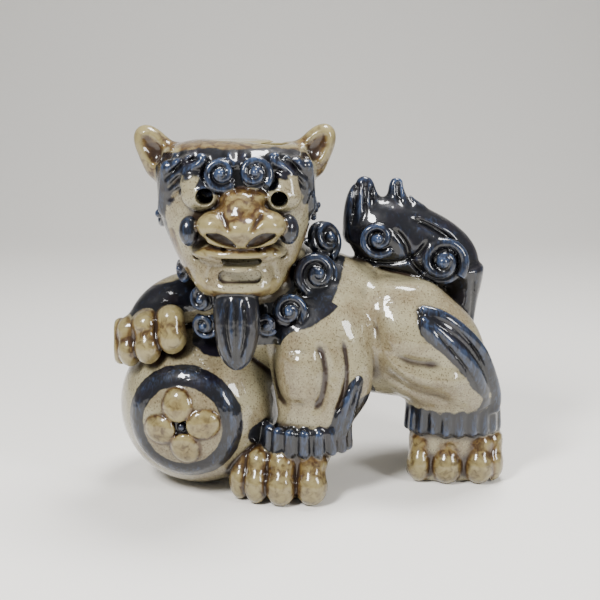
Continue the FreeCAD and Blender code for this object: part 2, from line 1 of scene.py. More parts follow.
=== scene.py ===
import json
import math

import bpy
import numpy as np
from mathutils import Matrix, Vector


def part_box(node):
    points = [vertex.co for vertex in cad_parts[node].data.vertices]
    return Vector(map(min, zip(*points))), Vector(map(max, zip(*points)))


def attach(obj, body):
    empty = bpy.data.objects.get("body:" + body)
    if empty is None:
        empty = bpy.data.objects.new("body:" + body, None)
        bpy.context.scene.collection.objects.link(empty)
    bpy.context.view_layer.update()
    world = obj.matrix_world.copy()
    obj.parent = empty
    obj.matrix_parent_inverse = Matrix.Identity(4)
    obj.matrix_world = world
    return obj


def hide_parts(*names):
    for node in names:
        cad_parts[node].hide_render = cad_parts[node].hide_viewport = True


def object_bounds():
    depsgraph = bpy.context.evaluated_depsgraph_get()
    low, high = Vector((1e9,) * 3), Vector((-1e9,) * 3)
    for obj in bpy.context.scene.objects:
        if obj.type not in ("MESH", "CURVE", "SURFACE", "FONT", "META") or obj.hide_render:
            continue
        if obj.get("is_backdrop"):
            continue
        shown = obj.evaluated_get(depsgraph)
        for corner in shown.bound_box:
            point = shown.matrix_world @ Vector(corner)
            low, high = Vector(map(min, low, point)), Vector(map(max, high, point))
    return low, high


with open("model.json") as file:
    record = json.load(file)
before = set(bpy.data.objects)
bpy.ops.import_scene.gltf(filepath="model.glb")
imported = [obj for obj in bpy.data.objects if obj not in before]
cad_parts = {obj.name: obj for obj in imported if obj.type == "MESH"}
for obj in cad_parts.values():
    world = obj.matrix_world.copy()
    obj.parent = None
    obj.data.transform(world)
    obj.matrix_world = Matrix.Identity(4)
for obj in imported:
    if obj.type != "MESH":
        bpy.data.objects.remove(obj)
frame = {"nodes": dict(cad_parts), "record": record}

# Foo dog statue in glazed stoneware.
#
# The clay is modelled as signed distances on one grid of voxels, in millimetres.  Every piece starts from its
# CAD shape, its details are pressed into it or laid on it, and the melt of all the pieces is the glazed
# surface.  Each piece is then cut out of that surface where it is the nearest one, so that neighbours meet
# edge to edge.
# Left and right are the lion's own: its left side and its face are towards -Y.

import openvdb as vdb
from mathutils import Matrix, Vector

bl_info = {
    "name": "Foo Dog Statue",
    "version": (1, 0, 0),
    "blender": (4, 5, 0),
    "location": "3D View > Sidebar > Foo Dog",
    "description": "Sculpts and glazes a guardian lion statue over its CAD pieces",
    "category": "Object",
}

MM = 0.001                                  # one millimetre in metres
VOXEL = 0.6          # mm
BAND = 6.0                                  # mm, how far from a surface its distances are kept
MARGIN = 5.0                                # mm of voxels round each piece
SEAM_INSET = 0.35                           # mm that the lapped edge lies under the neighbour's surface
FAR = 60.0                                  # mm, farther than any paint reaches
CRISP = 0.8                                 # mm, fillet where two shapes meet in a sharp crease
RELIEF_REACH = 1.5                          # mm, how broad a hollow or crest the glaze's breaks and its painted shade in hollows answer to
ON_GLAZE = 0.3                              # voxels, how near a point is to the glazed surface to lie on it
LONGEST_STEP = 0.3                          # mm, how far a point may be drawn onto the surface at a time
MOST_TRIANGLES = 190_000                    # in one piece

CURL_SPREAD = 1.1                           # a wound curl's radius, as part of the CAD dome's
CURL_BED = 1.0                              # mm that the dome shrinks under the rope
PETAL = (7.4, 6.4, 3.0)                     # mm, half sizes of a petal: outwards, across and thick
RECESS = (6.2, 3.4, 6.2)                    # mm, half sizes of the hollow between the petals
BEAD = 2.0                                  # mm, radius of the bead in it, and how deep its middle lies
DIAMOND = 4.4                               # mm, reach of the dark paint in the hollow
RAW_CLAY = "b0a080"                         # sRGB, the forms' own colour before they are melted in

LOW, HIGH = (np.array(corner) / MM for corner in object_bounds())
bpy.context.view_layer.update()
ORIGIN = LOW - MARGIN
SHAPE = np.ceil((HIGH - LOW + 2 * MARGIN) / VOXEL).astype(int) + 1
NODES = sorted(frame["nodes"])

LOOK_AT = Vector((-7.5, 4.7, 84.0))         # mm, the point that the camera faces


# ------------------------------------------------------------------ distances

class Clay:
    """One piece of clay: its signed distances in mm on the voxels round it, negative inside."""

    def __init__(self, name, points, triangles, fillet=1.0):
        low = np.floor((points.min(0) - MARGIN - ORIGIN) / VOXEL).astype(int)
        high = np.ceil((points.max(0) + MARGIN - ORIGIN) / VOXEL).astype(int) + 1
        self.name = name
        self.fillet = fillet
        self.corner = np.clip(low, 0, SHAPE)
        self.shape = np.clip(high, 0, SHAPE) - self.corner
        self.low, self.high = points.min(0), points.max(0)
        self.middle = (self.low + self.high) / 2
        self.distance = self.measure(points, triangles)

    def measure(self, points, triangles):
        """The distances of this piece's voxels from a closed mesh."""
        places = ((points - ORIGIN) / VOXEL).astype(np.float32)
        grid = vdb.FloatGrid.createLevelSetFromPolygons(
            places, triangles=triangles.astype(np.uint32),
            transform=vdb.createLinearTransform(voxelSize=1.0), halfWidth=BAND / VOXEL)
        distance = np.empty(tuple(self.shape), np.float32)
        grid.copyToArray(distance, ijk=tuple(int(c) for c in self.corner))
        return distance * VOXEL

    def window(self):
        """This piece's voxels, as slices of the statue's grid."""
        return tuple(slice(c, c + n) for c, n in zip(self.corner, self.shape))

    def places(self):
        """The x, y and z of the voxels in mm, as three arrays that broadcast together."""
        axes = [ORIGIN[k] + (self.corner[k] + np.arange(self.shape[k])) * VOXEL for k in range(3)]
        return np.meshgrid(*axes, indexing="ij", sparse=True)

    def fill_cavity(self):
        """Closes the hollow of a casting, because only its skin and the mouths of its holes show."""
        solid = self.distance < 0
        walled = np.ones(solid.shape, bool)
        for axis in range(3):
            walled &= np.logical_or.accumulate(solid, axis)
            walled &= np.flip(np.logical_or.accumulate(np.flip(solid, axis), axis), axis)
        points, triangles = skin(np.where(walled & ~solid, -VOXEL, self.distance))
        self.distance = self.measure(ORIGIN + (points + self.corner) * VOXEL, triangles)


def skin(distance):
    """Points, in voxels from the array's corner, and triangles of the surface where the distance is zero."""
    grid = vdb.FloatGrid()
    grid.background = BAND
    grid.copyFromArray(np.ascontiguousarray(distance, dtype=np.float32))
    points, quads = grid.convertToQuads()
    triangles = np.concatenate([quads[:, [0, 1, 2]], quads[:, [0, 2, 3]]])
    return points.astype(float), outward(points, triangles)


def outward(points, faces):
    """The faces turned so that they point out of the solid."""
    a, b, c = (points[faces[:, k]].astype(float) for k in range(3))
    volume = np.einsum("ij,ij->i", a, np.cross(b, c)).sum()
    return faces if volume > 0 else faces[:, ::-1]


def blurred(values, reach):
    """The values softened by a Gaussian of that reach in mm."""
    sigma = reach / VOXEL
    steps = np.arange(-math.ceil(2.5 * sigma), math.ceil(2.5 * sigma) + 1)
    weights = np.exp(-0.5 * (steps / sigma) ** 2)
    weights /= weights.sum()
    for axis in range(3):
        padding = [(0, 0)] * 3
        padding[axis] = (len(steps) // 2,) * 2
        padded = np.pad(values, padding, mode="edge")
        total = np.zeros_like(values)
        for i, weight in enumerate(weights):
            total += padded.take(range(i, i + values.shape[axis]), axis) * np.float32(weight)
        values = total
    return values


def sample(field, points):
    """The field's values at points in mm, between the voxels."""
    places = np.clip((points - ORIGIN) / VOXEL, 0, np.array(field.shape) - 1.001)
    cell = places.astype(int)
    part = places - cell
    total = np.zeros(len(points))
    for corner in np.ndindex(2, 2, 2):
        weight = np.prod(np.where(corner, part, 1 - part), axis=1)
        total += weight * field[tuple((cell + corner).T)]
    return total


def slope(field, points):
    """The field's gradient at points in mm."""
    steps = np.eye(3) * VOXEL
    return np.stack([sample(field, points + s) - sample(field, points - s) for s in steps], axis=1)


def smooth(t):
    """0 below 0 and 1 above 1, with an S curve between them."""
    t = np.clip(t, 0, 1)
    return t * t * (3 - 2 * t)


def melt(a, b, fillet):
    """The union of two distances, with a fillet of about that size where they meet."""
    near = np.clip(fillet - np.abs(a - b), 0, None)
    return np.minimum(a, b) - near * near / (4 * fillet)


def carve(a, b, fillet):
    """What is left of a when b is taken out of it."""
    return -melt(-a, b, fillet)


# ------------------------------------------------------------------ shapes and strokes

def ball_shape(places, centre, half, turn=None):
    """Roughly the distance from an ellipsoid with the given half sizes, its axes turned by a 3x3 matrix."""
    offset = [p - c for p, c in zip(places, centre)]
    if turn is not None:
        offset = [sum(turn[row][k] * offset[row] for row in range(3)) for k in range(3)]
    scaled = np.sqrt(sum((o / h) ** 2 for o, h in zip(offset, half)))
    steepness = np.sqrt(sum((o / (h * h)) ** 2 for o, h in zip(offset, half)))
    return scaled * (scaled - 1) / np.maximum(steepness, 1e-6)


def stroke(x, z, path):
    """Distance in the XZ plane from a path of points, and how far along it that is, from 0 to 1."""
    lengths = [math.dist(a, b) for a, b in zip(path, path[1:])]
    gone = 0.0
    nearest, along = np.float32(FAR), 0.0
    for a, b, length in zip(path, path[1:], lengths):
        across, up = (b[0] - a[0]) / length, (b[1] - a[1]) / length
        reach = np.clip((x - a[0]) * across + (z - a[1]) * up, 0, length)
        distance = np.hypot(x - a[0] - reach * across, z - a[1] - reach * up)
        along = np.where(distance < nearest, (gone + reach) / sum(lengths), along)
        nearest = np.minimum(nearest, distance)
        gone += length
    return nearest, along


def curved(path, rounds=2):
    """A path with its corners cut, so that a stroke along it runs in one sweep."""
    path = [np.array(point, float) for point in path]
    for _ in range(rounds):
        cut = [path[0]]
        for a, b in zip(path, path[1:]):
            cut += [a * 0.75 + b * 0.25, a * 0.25 + b * 0.75]
        path = cut + [path[-1]]
    return path


def on_box(clay, path):
    """A path given in parts of the piece's half width and half height, as a smooth path in mm."""
    half = (clay.high - clay.low) / 2
    return curved([(clay.middle[0] + x * half[0], clay.middle[2] + z * half[2]) for x, z in path])


def flank(clay, side):
    """1 on one side of the piece and 0 on the other: -1 is the face and left flank, 1 the far one, 0 both."""
    if not side:
        return 1.0
    return smooth(side * (clay.places()[1] - clay.middle[1]) / 4 + 0.5)


def press(clay, path, width, depth, side=-1, taper=0.2):
    """Draws a groove into the piece along a path on its box; a negative depth leaves a ridge."""
    x, _, z = clay.places()
    near, along = stroke(x, z, on_box(clay, path))
    ends = smooth(np.minimum(along, 1 - along) / taper) if taper else 1.0
    groove = depth * np.exp(-(near / width) ** 2) * ends * flank(clay, side)
    clay.distance = clay.distance + groove.astype(np.float32)


holes = []                                  # (line in mm in the XZ plane, radius, y cut back to, swell)


def pierce(clay, path, radius, depth, swell=0.0):
    """A hole cut from the front through all the clay, round a path on the piece's box, to a depth in mm.

    Swell is the part of the radius by which the hole narrows towards the ends of its path.
    """
    holes.append((on_box(clay, path), radius, clay.low[1] + depth, swell))


def knead(clay, lumps, fillet):
    """Shapes the piece again from lumps: (centre in parts of the box, half sizes in mm, lean in degrees)."""
    half = (clay.high - clay.low) / 2
    body = np.full(clay.distance.shape, BAND)
    for centre, size, lean in lumps:
        lump = ball_shape(clay.places(), clay.middle + np.array(centre) * half, size, leaning(lean))
        body = melt(body, lump, fillet)
    clay.distance = np.clip(body, -BAND, BAND).astype(np.float32)


def scoop(clay, centre, size, lean=0.0, fillet=1.5):
    """Hollows the piece with one round lump, given as in knead."""
    half = (clay.high - clay.low) / 2
    lump = ball_shape(clay.places(), clay.middle + np.array(centre) * half, size, leaning(lean))
    clay.distance = np.clip(carve(clay.distance, lump, fillet), -BAND, BAND).astype(np.float32)


def leaning(degrees):
    """A 3x3 matrix that leans a lump over towards +X."""
    return np.array(Matrix.Rotation(math.radians(degrees), 3, "Y"))


# ------------------------------------------------------------------ forms made by Geometry Nodes

def add(tree, kind, inputs=None, **settings):
    """A new node with its settings, and its inputs given as values or as the outputs that feed them."""
    node = tree.nodes.new(kind)
    for name, value in settings.items():
        setattr(node, name, value)
    for name, value in (inputs or {}).items():
        if isinstance(value, bpy.types.NodeSocket):
            tree.links.new(value, node.inputs[name])
        else:
            node.inputs[name].default_value = value
    return node


def new_tree(name, sizes):
    """A Geometry Nodes tree with one named input for each size, and its group input node."""
    tree = bpy.data.node_groups.new(name, "GeometryNodeTree")
    for label, kind in sizes.items():
        tree.interface.new_socket(label, in_out="INPUT", socket_type=kind)
    tree.interface.new_socket("Geometry", in_out="OUTPUT", socket_type="NodeSocketGeometry")
    return tree, tree.nodes.new("NodeGroupInput").outputs


def close_tree(tree, geometry, clay_material):
    """Ends a tree in Realize Instances and Set Material."""
    real = add(tree, "GeometryNodeRealizeInstances", {"Geometry": geometry})
    done = add(tree, "GeometryNodeSetMaterial", {"Geometry": real.outputs[0], "Material": clay_material})
    add(tree, "NodeGroupOutput", {"Geometry": done.outputs[0]})
    return tree


def coil_tree(clay_material):
    """A snail curl: a rope of clay wound outwards from a knob and dropping as it goes."""
    tree, size = new_tree("snail_curl", {"Radius": "NodeSocketFloat", "Turns": "NodeSocketFloat",
                                         "Rope": "NodeSocketFloat", "Rise": "NodeSocketFloat"})
    fall = add(tree, "ShaderNodeMath", {0: size["Rise"], 1: -1.0}, operation="MULTIPLY")
    outer = add(tree, "ShaderNodeMath", {0: size["Radius"], 1: size["Rope"]}, operation="SUBTRACT")
    inner = add(tree, "ShaderNodeMath", {0: size["Rope"], 1: 0.7}, operation="MULTIPLY")
    spiral = add(tree, "GeometryNodeCurveSpiral", {
        "Resolution": 28, "Rotations": size["Turns"], "Start Radius": inner.outputs[0],
        "End Radius": outer.outputs[0], "Height": fall.outputs[0]})
    along = add(tree, "GeometryNodeSplineParameter")
    thickness = add(tree, "ShaderNodeMapRange", {
        "Value": along.outputs["Factor"], "To Min": inner.outputs[0], "To Max": size["Rope"]})
    rope = add(tree, "GeometryNodeSetCurveRadius", {
        "Curve": spiral.outputs[0], "Radius": thickness.outputs[0]})
    profile = add(tree, "GeometryNodeCurvePrimitiveCircle", {"Resolution": 12, "Radius": 1.0})
    wound = add(tree, "GeometryNodeCurveToMesh", {
        "Curve": rope.outputs[0], "Profile Curve": profile.outputs[0], "Scale": thickness.outputs[0],
        "Fill Caps": True})
    knob_size = add(tree, "ShaderNodeMath", {0: size["Rope"], 1: 1.15}, operation="MULTIPLY")
    knob = add(tree, "GeometryNodeMeshUVSphere", {
        "Segments": 24, "Rings": 12, "Radius": knob_size.outputs[0]})
    both = add(tree, "GeometryNodeJoinGeometry")
    tree.links.new(wound.outputs[0], both.inputs[0])
    tree.links.new(knob.outputs[0], both.inputs[0])
    return close_tree(tree, both.outputs[0], clay_material)


def petal_tree(clay_material):
    """Petals set evenly round an axis, each lying square to the line from the ball's centre."""
    tree, size = new_tree("petal_ring", {"Count": "NodeSocketInt", "Ring Radius": "NodeSocketFloat",
                                         "Height": "NodeSocketFloat", "Petal": "NodeSocketVector"})
    ring = add(tree, "GeometryNodeMeshCircle", {"Vertices": size["Count"], "Radius": size["Ring Radius"]})
    up = add(tree, "ShaderNodeCombineXYZ", {"Z": size["Height"]})
    seated = add(tree, "GeometryNodeTransform", {"Geometry": ring.outputs[0], "Translation": up.outputs[0]})
    place = add(tree, "GeometryNodeInputPosition")
    lengthwise = add(tree, "FunctionNodeAlignRotationToVector", {"Vector": place.outputs[0]},
                     axis="X", pivot_axis="Z")
    outwards = add(tree, "FunctionNodeAlignRotationToVector", {
        "Rotation": lengthwise.outputs[0], "Vector": place.outputs[0]}, axis="Z", pivot_axis="Y")
    petal = add(tree, "GeometryNodeMeshUVSphere", {"Segments": 32, "Rings": 16, "Radius": 1.0})
    laid = add(tree, "GeometryNodeInstanceOnPoints", {
        "Points": seated.outputs[0], "Instance": petal.outputs[0], "Rotation": outwards.outputs[0],
        "Scale": size["Petal"]})
    return close_tree(tree, laid.outputs[0], clay_material)


def formed(tree, **sizes):
    """Points and triangles of what a tree makes with these sizes, in its own coordinates."""
    holder = bpy.data.objects.new(tree.name, bpy.data.meshes.new(tree.name))
    bpy.context.scene.collection.objects.link(holder)
    modifier = holder.modifiers.new(tree.name, "NODES")
    modifier.node_group = tree
    for item in tree.interface.items_tree:
        if item.in_out == "INPUT":
            modifier[item.identifier] = sizes[item.name.lower().replace(" ", "_")]
    graph = bpy.context.evaluated_depsgraph_get()
    mesh = bpy.data.meshes.new_from_object(holder.evaluated_get(graph))
    points, triangles = mesh_arrays(mesh)
    bpy.data.objects.remove(holder)
    bpy.data.meshes.remove(mesh)
    return points, triangles


def mesh_arrays(mesh):
    """A mesh's points and triangles as arrays."""
    mesh.calc_loop_triangles()
    points = np.empty(len(mesh.vertices) * 3, np.float32)
    triangles = np.empty(len(mesh.loop_triangles) * 3, np.int32)
    mesh.vertices.foreach_get("co", points)
    mesh.loop_triangles.foreach_get("vertices", triangles)
    return points.reshape(-1, 3).astype(float), triangles.reshape(-1, 3)


def facing(direction, roll=0.0):
    """A 3x3 matrix that turns +Z to the direction, after a roll about Z in degrees."""
    turn = Vector((0, 0, 1)).rotation_difference(Vector(direction).normalized()).to_matrix()
    return np.array(turn @ Matrix.Rotation(math.radians(roll), 3, "Z"))


# ------------------------------------------------------------------ the clay

clays = {}                                  # node name to Clay, in the order that the pieces are laid


def lay(node, fillet=1.6, hollow=False, soften=0.0):
    """Lays the clay of a CAD piece; the fillet is how far it melts into what is there already, in mm."""
    points, triangles = mesh_arrays(frame["nodes"][node].data)
    clay = Clay(node, points / MM, triangles, fillet)
    if hollow:
        clay.fill_cavity()
    if soften:
        clay.distance = blurred(clay.distance, soften)
    clays[node] = clay
    return clay


def lay_curl(node, direction, hand, tree, curl):
    """A snail curl wound over the domed CAD piece; hand is 1 or -1 for the way that it winds."""
    clay = lay(node, fillet=1.2)
    points = mesh_arrays(frame["nodes"][node].data)[0] / MM
    turn = facing(direction, roll=140.0)
    axis = turn[:, 2]
    heights = points @ axis
    outer = heights > heights.min() + 0.3 * (heights.max() - heights.min())
    centre = (points[outer].min(0) + points[outer].max(0)) / 2
    reach = np.linalg.norm(np.cross(points - centre, axis), axis=1)
    radius = CURL_SPREAD * float(np.percentile(reach, 97))
    rope = radius * curl.rope
    coil, triangles = formed(tree, radius=radius, turns=curl.turns, rope=rope, rise=radius * curl.rise)
    coil[:, 1] *= hand
    top = heights.max() - centre @ axis - rope * 0.7
    placed = centre + (coil + [0, 0, top]) @ turn.T
    wound = clay.measure(placed, outward(placed, triangles))
    clay.distance = melt(wound, clay.distance + np.float32(CURL_BED), 0.6)


# Which way each snail curl faces, and which way it winds.
CURLS = {
    "left_brow_curl": ((0.1, -1, 0.25), 1),
    "right_brow_curl": ((0.05, -1, 0.25), -1),
    "mane_curl_cheek": ((0.3, -1, 0.15), -1),
    "mane_curl_throat": ((0.1, -1, 0.1), 1),
    "mane_curl_collar": ((-0.1, -1, -0.1), -1),
    "mane_curl_nape_left": ((0.75, -0.75, 0.35), 1),
    "mane_curl_ear_left": ((1, 0.0, 0.1), 1),
    "mane_curl_temple_right": ((-1, -0.35, 0.1), 1),
    "mane_curl_cheek_right": ((-1, -0.6, 0.1), -1),
    "mane_curl_paw": ((-0.35, -1, 0.1), 1),
    "mane_curl_ball": ((-0.3, -1, -0.1), -1),
    "mane_curl_crown_back": ((0, 1, 0.45), 1),
    "mane_curl_back_left": ((0.4, 1, 0.1), -1),
    "mane_curl_back_right": ((-0.5, 1, 0.1), 1),
    "mane_curl_nape": ((-0.1, 1, 0.2), -1),
    "mane_curl_neck_left": ((0.4, 1, 0.35), 1),
    "mane_curl_neck_right": ((-0.8, 1, 0.1), -1),
    "mane_curl_shoulder": ((-0.1, 1, 0.1), 1),
    "tail_curl_front_left": ((0, -1, 0.1), -1),
    "tail_curl_front_right": ((0, 1, 0.1), 1),
    "tail_curl_rear_left": ((0, -1, 0.1), 1),
    "tail_curl_rear_right": ((0, 1, 0.1), -1),
}


# ------------------------------------------------------------------ the pieces of clay

def medallion():
    """The ball's centre and radius in mm, and the direction from there to the medallion's middle."""
    low, high = (np.array(corner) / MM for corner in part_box("ball_shell"))
    radius = (high[0] - low[0]) / 2
    centre = np.array([(low[0] + high[0]) / 2, (low[1] + high[1]) / 2, high[2] - radius])
    petal_low, petal_high = (np.array(corner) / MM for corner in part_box("ball_petals"))
    direction = (petal_low + petal_high) / 2 - centre
    return centre, radius, direction / np.linalg.norm(direction)


def lay_ball():
    """The ball, its raised ring, and four petals round a sunken diamond with a bead in it."""
    shell = lay("ball_shell", hollow=True, soften=0.6)
    lay("ball_ring", fillet=1.0)
    petals = lay("ball_petals", fillet=1.0)
    centre, radius, direction = medallion()
    turn = facing(direction, roll=90.0)
    tree = petal_tree(plain_material("petal_clay", colour(RAW_CLAY), 0.9))
    shape, triangles = formed(tree, count=4, ring_radius=radius * 0.265, height=radius * 0.945, petal=PETAL)
    placed = centre + shape @ turn.T
    petals.distance = petals.measure(placed, outward(placed, triangles))
    recess = ball_shape(shell.places(), centre + direction * radius, RECESS)
    shell.distance = carve(shell.distance, recess, CRISP).astype(np.float32)
    bead = ball_shape(shell.places(), centre + direction * (radius - BEAD), (BEAD, BEAD, BEAD))
    shell.distance = melt(shell.distance, bead, 0.5).astype(np.float32)


def lay_castings(settings):
    """The body and the legs, with their muscles drawn in by a few wide grooves."""
    fillet = settings.leg_fillet / MM
    groove = settings.groove / MM
    lay("body_shell", hollow=True, soften=1.6)
    for node in ("left_foreleg", "right_foreleg", "left_hind_leg", "right_hind_leg"):
        lay(node, fillet, hollow=True, soften=1.4)
    # A raised panel, shaped like a drop, down the middle of the standing foreleg.
    foreleg = clays["left_foreleg"]
    press(foreleg, [(-0.44, 0.54), (-0.58, 0.32), (-0.50, 0.04), (-0.28, -0.16)], 2.4, groove * 2.1)
    press(foreleg, [(0.10, 0.56), (0.27, 0.32), (0.23, 0.04), (0.05, -0.16)], 2.4, groove * 2.1)
    press(foreleg, [(-0.76, 0.50), (-0.82, 0.22), (-0.68, -0.07), (-0.46, -0.26)], 1.6, groove * 1.6)
    press(foreleg, [(0.50, 0.60), (0.60, 0.26), (0.52, 0.0), (0.36, -0.20)], 1.8, groove * 1.6)
    press(foreleg, [(-0.16, 0.46), (-0.16, 0.20), (-0.12, -0.06)], 6.5, -groove * 2.2)
    # Each haunch folds over in one long S.
    for side, far in (("left", -1), ("right", 1)):
        haunch = clays[side + "_hind_leg"]
        upper = [(-0.98, 0.80), (-0.90, 0.58), (-0.76, 0.42), (-0.50, 0.33), (-0.19, 0.30), (0.16, 0.30)]
        press(haunch, upper, 3.0, groove * 2.2, far)
        press(haunch, [(x + 0.18, z - 0.17) for x, z in upper] + [(0.50, 0.00)], 4.0, -groove * 2.6, far)
        lower = [(-0.80, 0.20), (-0.60, 0.08), (-0.28, -0.02), (0.08, -0.06), (0.28, -0.16)]
        press(haunch, lower, 2.6, groove * 1.8, far)
        press(haunch, [(-0.50, -0.14), (-0.38, -0.24), (-0.30, -0.34)], 2.0, groove, far)
        flank_fold = [(0.26, 0.55), (0.30, 0.20), (0.38, -0.10), (0.46, -0.40)]
        press(clays["body_shell"], flank_fold, 2.4, groove, far)


def lay_face(settings):
    """The head and all that is modelled on its front."""
    groove = settings.groove / MM
    head = lay("head_shell", fillet=3.0, hollow=True, soften=1.4)
    for side in ("left", "right"):
        lay(side + "_eyeball", fillet=1.0)
        lay(side + "_ear", fillet=4.0)
        lay(side + "_moustache_knob", fillet=1.2)
        lay(side + "_brow_locks", fillet=2.5, soften=0.8)
    lay("nose", fillet=1.5)
    lip = lay("upper_lip", fillet=2.0)
    jaw = lay("lower_jaw", fillet=2.0)
    lay("tongue", fillet=0.8)
    beard = lay("beard", fillet=1.5)
    shape_eyes()
    shape_ears()
    shape_nose(groove)
    # Folds from the wings of the nose to the corners of the mouth, jowls outside them, and the lips.
    press(head, [(-0.49, -0.36), (-0.47, -0.55), (-0.35, -0.73)], 1.3, groove * 1.6)
    press(head, [(0.62, -0.36), (0.56, -0.55), (0.46, -0.68)], 1.3, groove * 1.6)
    press(head, [(-0.58, -0.05), (-0.64, -0.35), (-0.50, -0.70)], 3.4, -groove * 1.3)
    press(head, [(0.72, -0.05), (0.78, -0.35), (0.64, -0.68)], 3.4, -groove * 1.3)
    # Strands of hair sweep over the temples and round the spirals on the brow.
    for strand in ([(-0.45, 0.93), (-0.60, 0.78), (-0.59, 0.53), (-0.37, 0.40)],
                   [(-0.66, 0.95), (-0.78, 0.76), (-0.80, 0.50), (-0.88, 0.28)],
                   [(0.54, 0.88), (0.68, 0.72), (0.66, 0.50), (0.46, 0.40)],
                   [(0.74, 0.88), (0.84, 0.70), (0.88, 0.48), (0.96, 0.24)],
                   [(-0.10, 0.92), (0.05, 0.72), (0.18, 0.92)]):
        press(head, strand, 1.7, -groove * 1.7)
    press(lip, [(-0.66, -0.05), (-0.26, 0.20), (0.40, 0.20), (0.78, 0.05)], 1.5, -groove * 0.5)
    press(lip, [(-0.90, 0.50), (-0.40, -0.45), (0.50, -0.45), (0.92, 0.50)], 0.9, groove)
    press(jaw, [(-0.48, 0.95), (-0.60, 0.40), (-0.62, -0.20)], 1.1, groove * 1.3)
    press(jaw, [(0.66, 0.95), (0.76, 0.40), (0.78, -0.10)], 1.1, groove * 1.3)
    press(jaw, [(-0.66, -0.30), (0.04, -0.55), (0.80, -0.30)], 1.8, -groove * 1.3)
    pierce(jaw, [(-0.26, 0.22), (0.36, 0.22)], 2.8, depth=4)
    pierce(lip, [(-0.24, -0.61), (0.39, -0.61)], 1.8, depth=16)
    # Locks of hair, combed the long way of each sprig.
    for lock in ([(-0.31, 0.95), (-0.45, 0.09), (-0.12, -0.75)], [(0.0, 0.97), (0.0, 0.1), (0.0, -0.9)],
                 [(0.31, 0.95), (0.45, 0.09), (0.12, -0.75)]):
        press(beard, lock, 0.9, groove * 1.3)
    for side, sign in (("left", 1), ("right", -1)):
        for shift in (-0.42, -0.08, 0.26):
            comb = [(-0.80, 0.62 + shift), (-0.05, 0.45 + shift), (0.70, -0.15 + shift)]
            press(clays[side + "_brow_locks"], [(sign * x, z) for x, z in comb], 1.0, groove * 1.4)


# Each eye on its own box: the middle of the pupil, the middle of the bulge, and the point of the teardrop.
EYES = {
    "left": ((-0.22, -0.06), (-0.05, 0.0), (0.21, 0.80)),
    "right": ((0.68, 0.15), (0.45, 0.15), (-0.05, 0.87)),
}


def shape_eyes():
    """Teardrop eyes, points up and outwards, with a round hole for each pupil that opens into the head."""
    for side, (pupil, bulge, point) in EYES.items():
        eye = clays[side + "_eyeball"]
        lumps = [
            ((bulge[0], 0.25, bulge[1]), (8.2, 5.6, 6.4), 0),
            ((point[0], 0.35, point[1]), (4.6, 4.2, 4.6), 0),
        ]
        knead(eye, lumps, fillet=4.0)
        turns = [step / 3 for step in range(20)]
        rim = [(pupil[0] + 0.58 * math.cos(turn), pupil[1] + 0.46 * math.sin(turn)) for turn in turns]
        press(eye, rim, 0.7, -0.5, side=0, taper=0)
        pierce(eye, [(pupil[0] - 0.02, pupil[1]), (pupil[0] + 0.02, pupil[1])], 3.4, depth=22)


def shape_ears():
    """Blunt horns of ears that lean outwards, dished towards the front."""
    for side, sign in (("left", 1), ("right", -1)):
        ear = clays[side + "_ear"]
        lumps = [
            ((-0.18 * sign, 0.1, -0.40), (9.5, 6.0, 8.5), 20 * sign),
            ((0.25 * sign, 0.1, 0.10), (7.4, 5.5, 8.0), 35 * sign),
            ((0.55 * sign, 0.1, 0.52), (5.0, 4.6, 5.4), 40 * sign),
        ]
        knead(ear, lumps, fillet=4.0)
        scoop(ear, (0.24 * sign, -0.95, 0.10), (4.6, 4.6, 9.0), 38 * sign)


def shape_nose(groove):
    """A broad flat nose: a bridge between the eyes, a blunt tip, two wings and slanting nostrils."""
    nose = clays["nose"]
    lumps = [
        ((0.05, 0.90, 0.66), (10.0, 8.0, 4.6), 0),
        ((0.04, 0.46, 0.26), (8.8, 8.2, 6.4), 0),
        ((0.04, -0.06, -0.26), (9.4, 8.0, 5.4), 0),
        ((-0.58, 0.22, -0.14), (7.4, 8.2, 5.6), -12),
        ((0.66, 0.22, -0.14), (7.4, 8.2, 5.6), 12),
        ((0.04, 0.24, -0.70), (14.0, 7.6, 3.2), 0),
    ]
    knead(nose, lumps, fillet=3.6)
    press(nose, [(-0.44, 0.34), (-0.32, 0.05), (-0.16, -0.30)], 1.0, groove)
    press(nose, [(0.56, 0.30), (0.42, 0.02), (0.26, -0.32)], 1.0, groove)
    pierce(nose, [(-0.70, -0.44), (-0.43, -0.56), (-0.12, -0.80)], 2.2, depth=11, swell=0.6)
    pierce(nose, [(0.78, -0.44), (0.51, -0.56), (0.20, -0.80)], 2.2, depth=11, swell=0.6)


# The toes of a standing paw: middle across and along its box, and half width in mm.
FOREPAW = [((0.63, -0.30), 7.2), ((0.03, -0.34), 7.0), ((-0.45, -0.08), 5.8), ((-0.77, 0.36), 5.2)]
HINDPAW = [((-0.66, 0.14), 5.6), ((-0.12, -0.14), 7.2), ((0.52, -0.14), 7.2), ((0.80, 0.24), 5.4)]


def join_toes(paw, pairs, fillet):
    """Shapes a paw from pairs of lumps, a toe and its knuckle, that run together and lie side by side."""
    half = (paw.high - paw.low) / 2
    whole = np.full(paw.distance.shape, BAND)
    for pair in pairs:
        lumps = [ball_shape(paw.places(), paw.middle + np.array(place) * half, size) for place, size in pair]
        whole = melt(whole, melt(*lumps, fillet), CRISP)
    paw.distance = np.clip(whole, -BAND, BAND).astype(np.float32)


def shape_paw(node, toes):
    """Gives each toe of a standing paw the knuckle above it."""
    pairs = []
    for (across, along), width in toes:
        toe = ((across, along, -0.32), (width, 7.4, 8.6))
        knuckle = ((across * 0.96 + 0.03, along + 0.42, 0.46), (width, 7.4, 6.2))
        pairs.append((toe, knuckle))
    join_toes(clays[node], pairs, fillet=3.6)


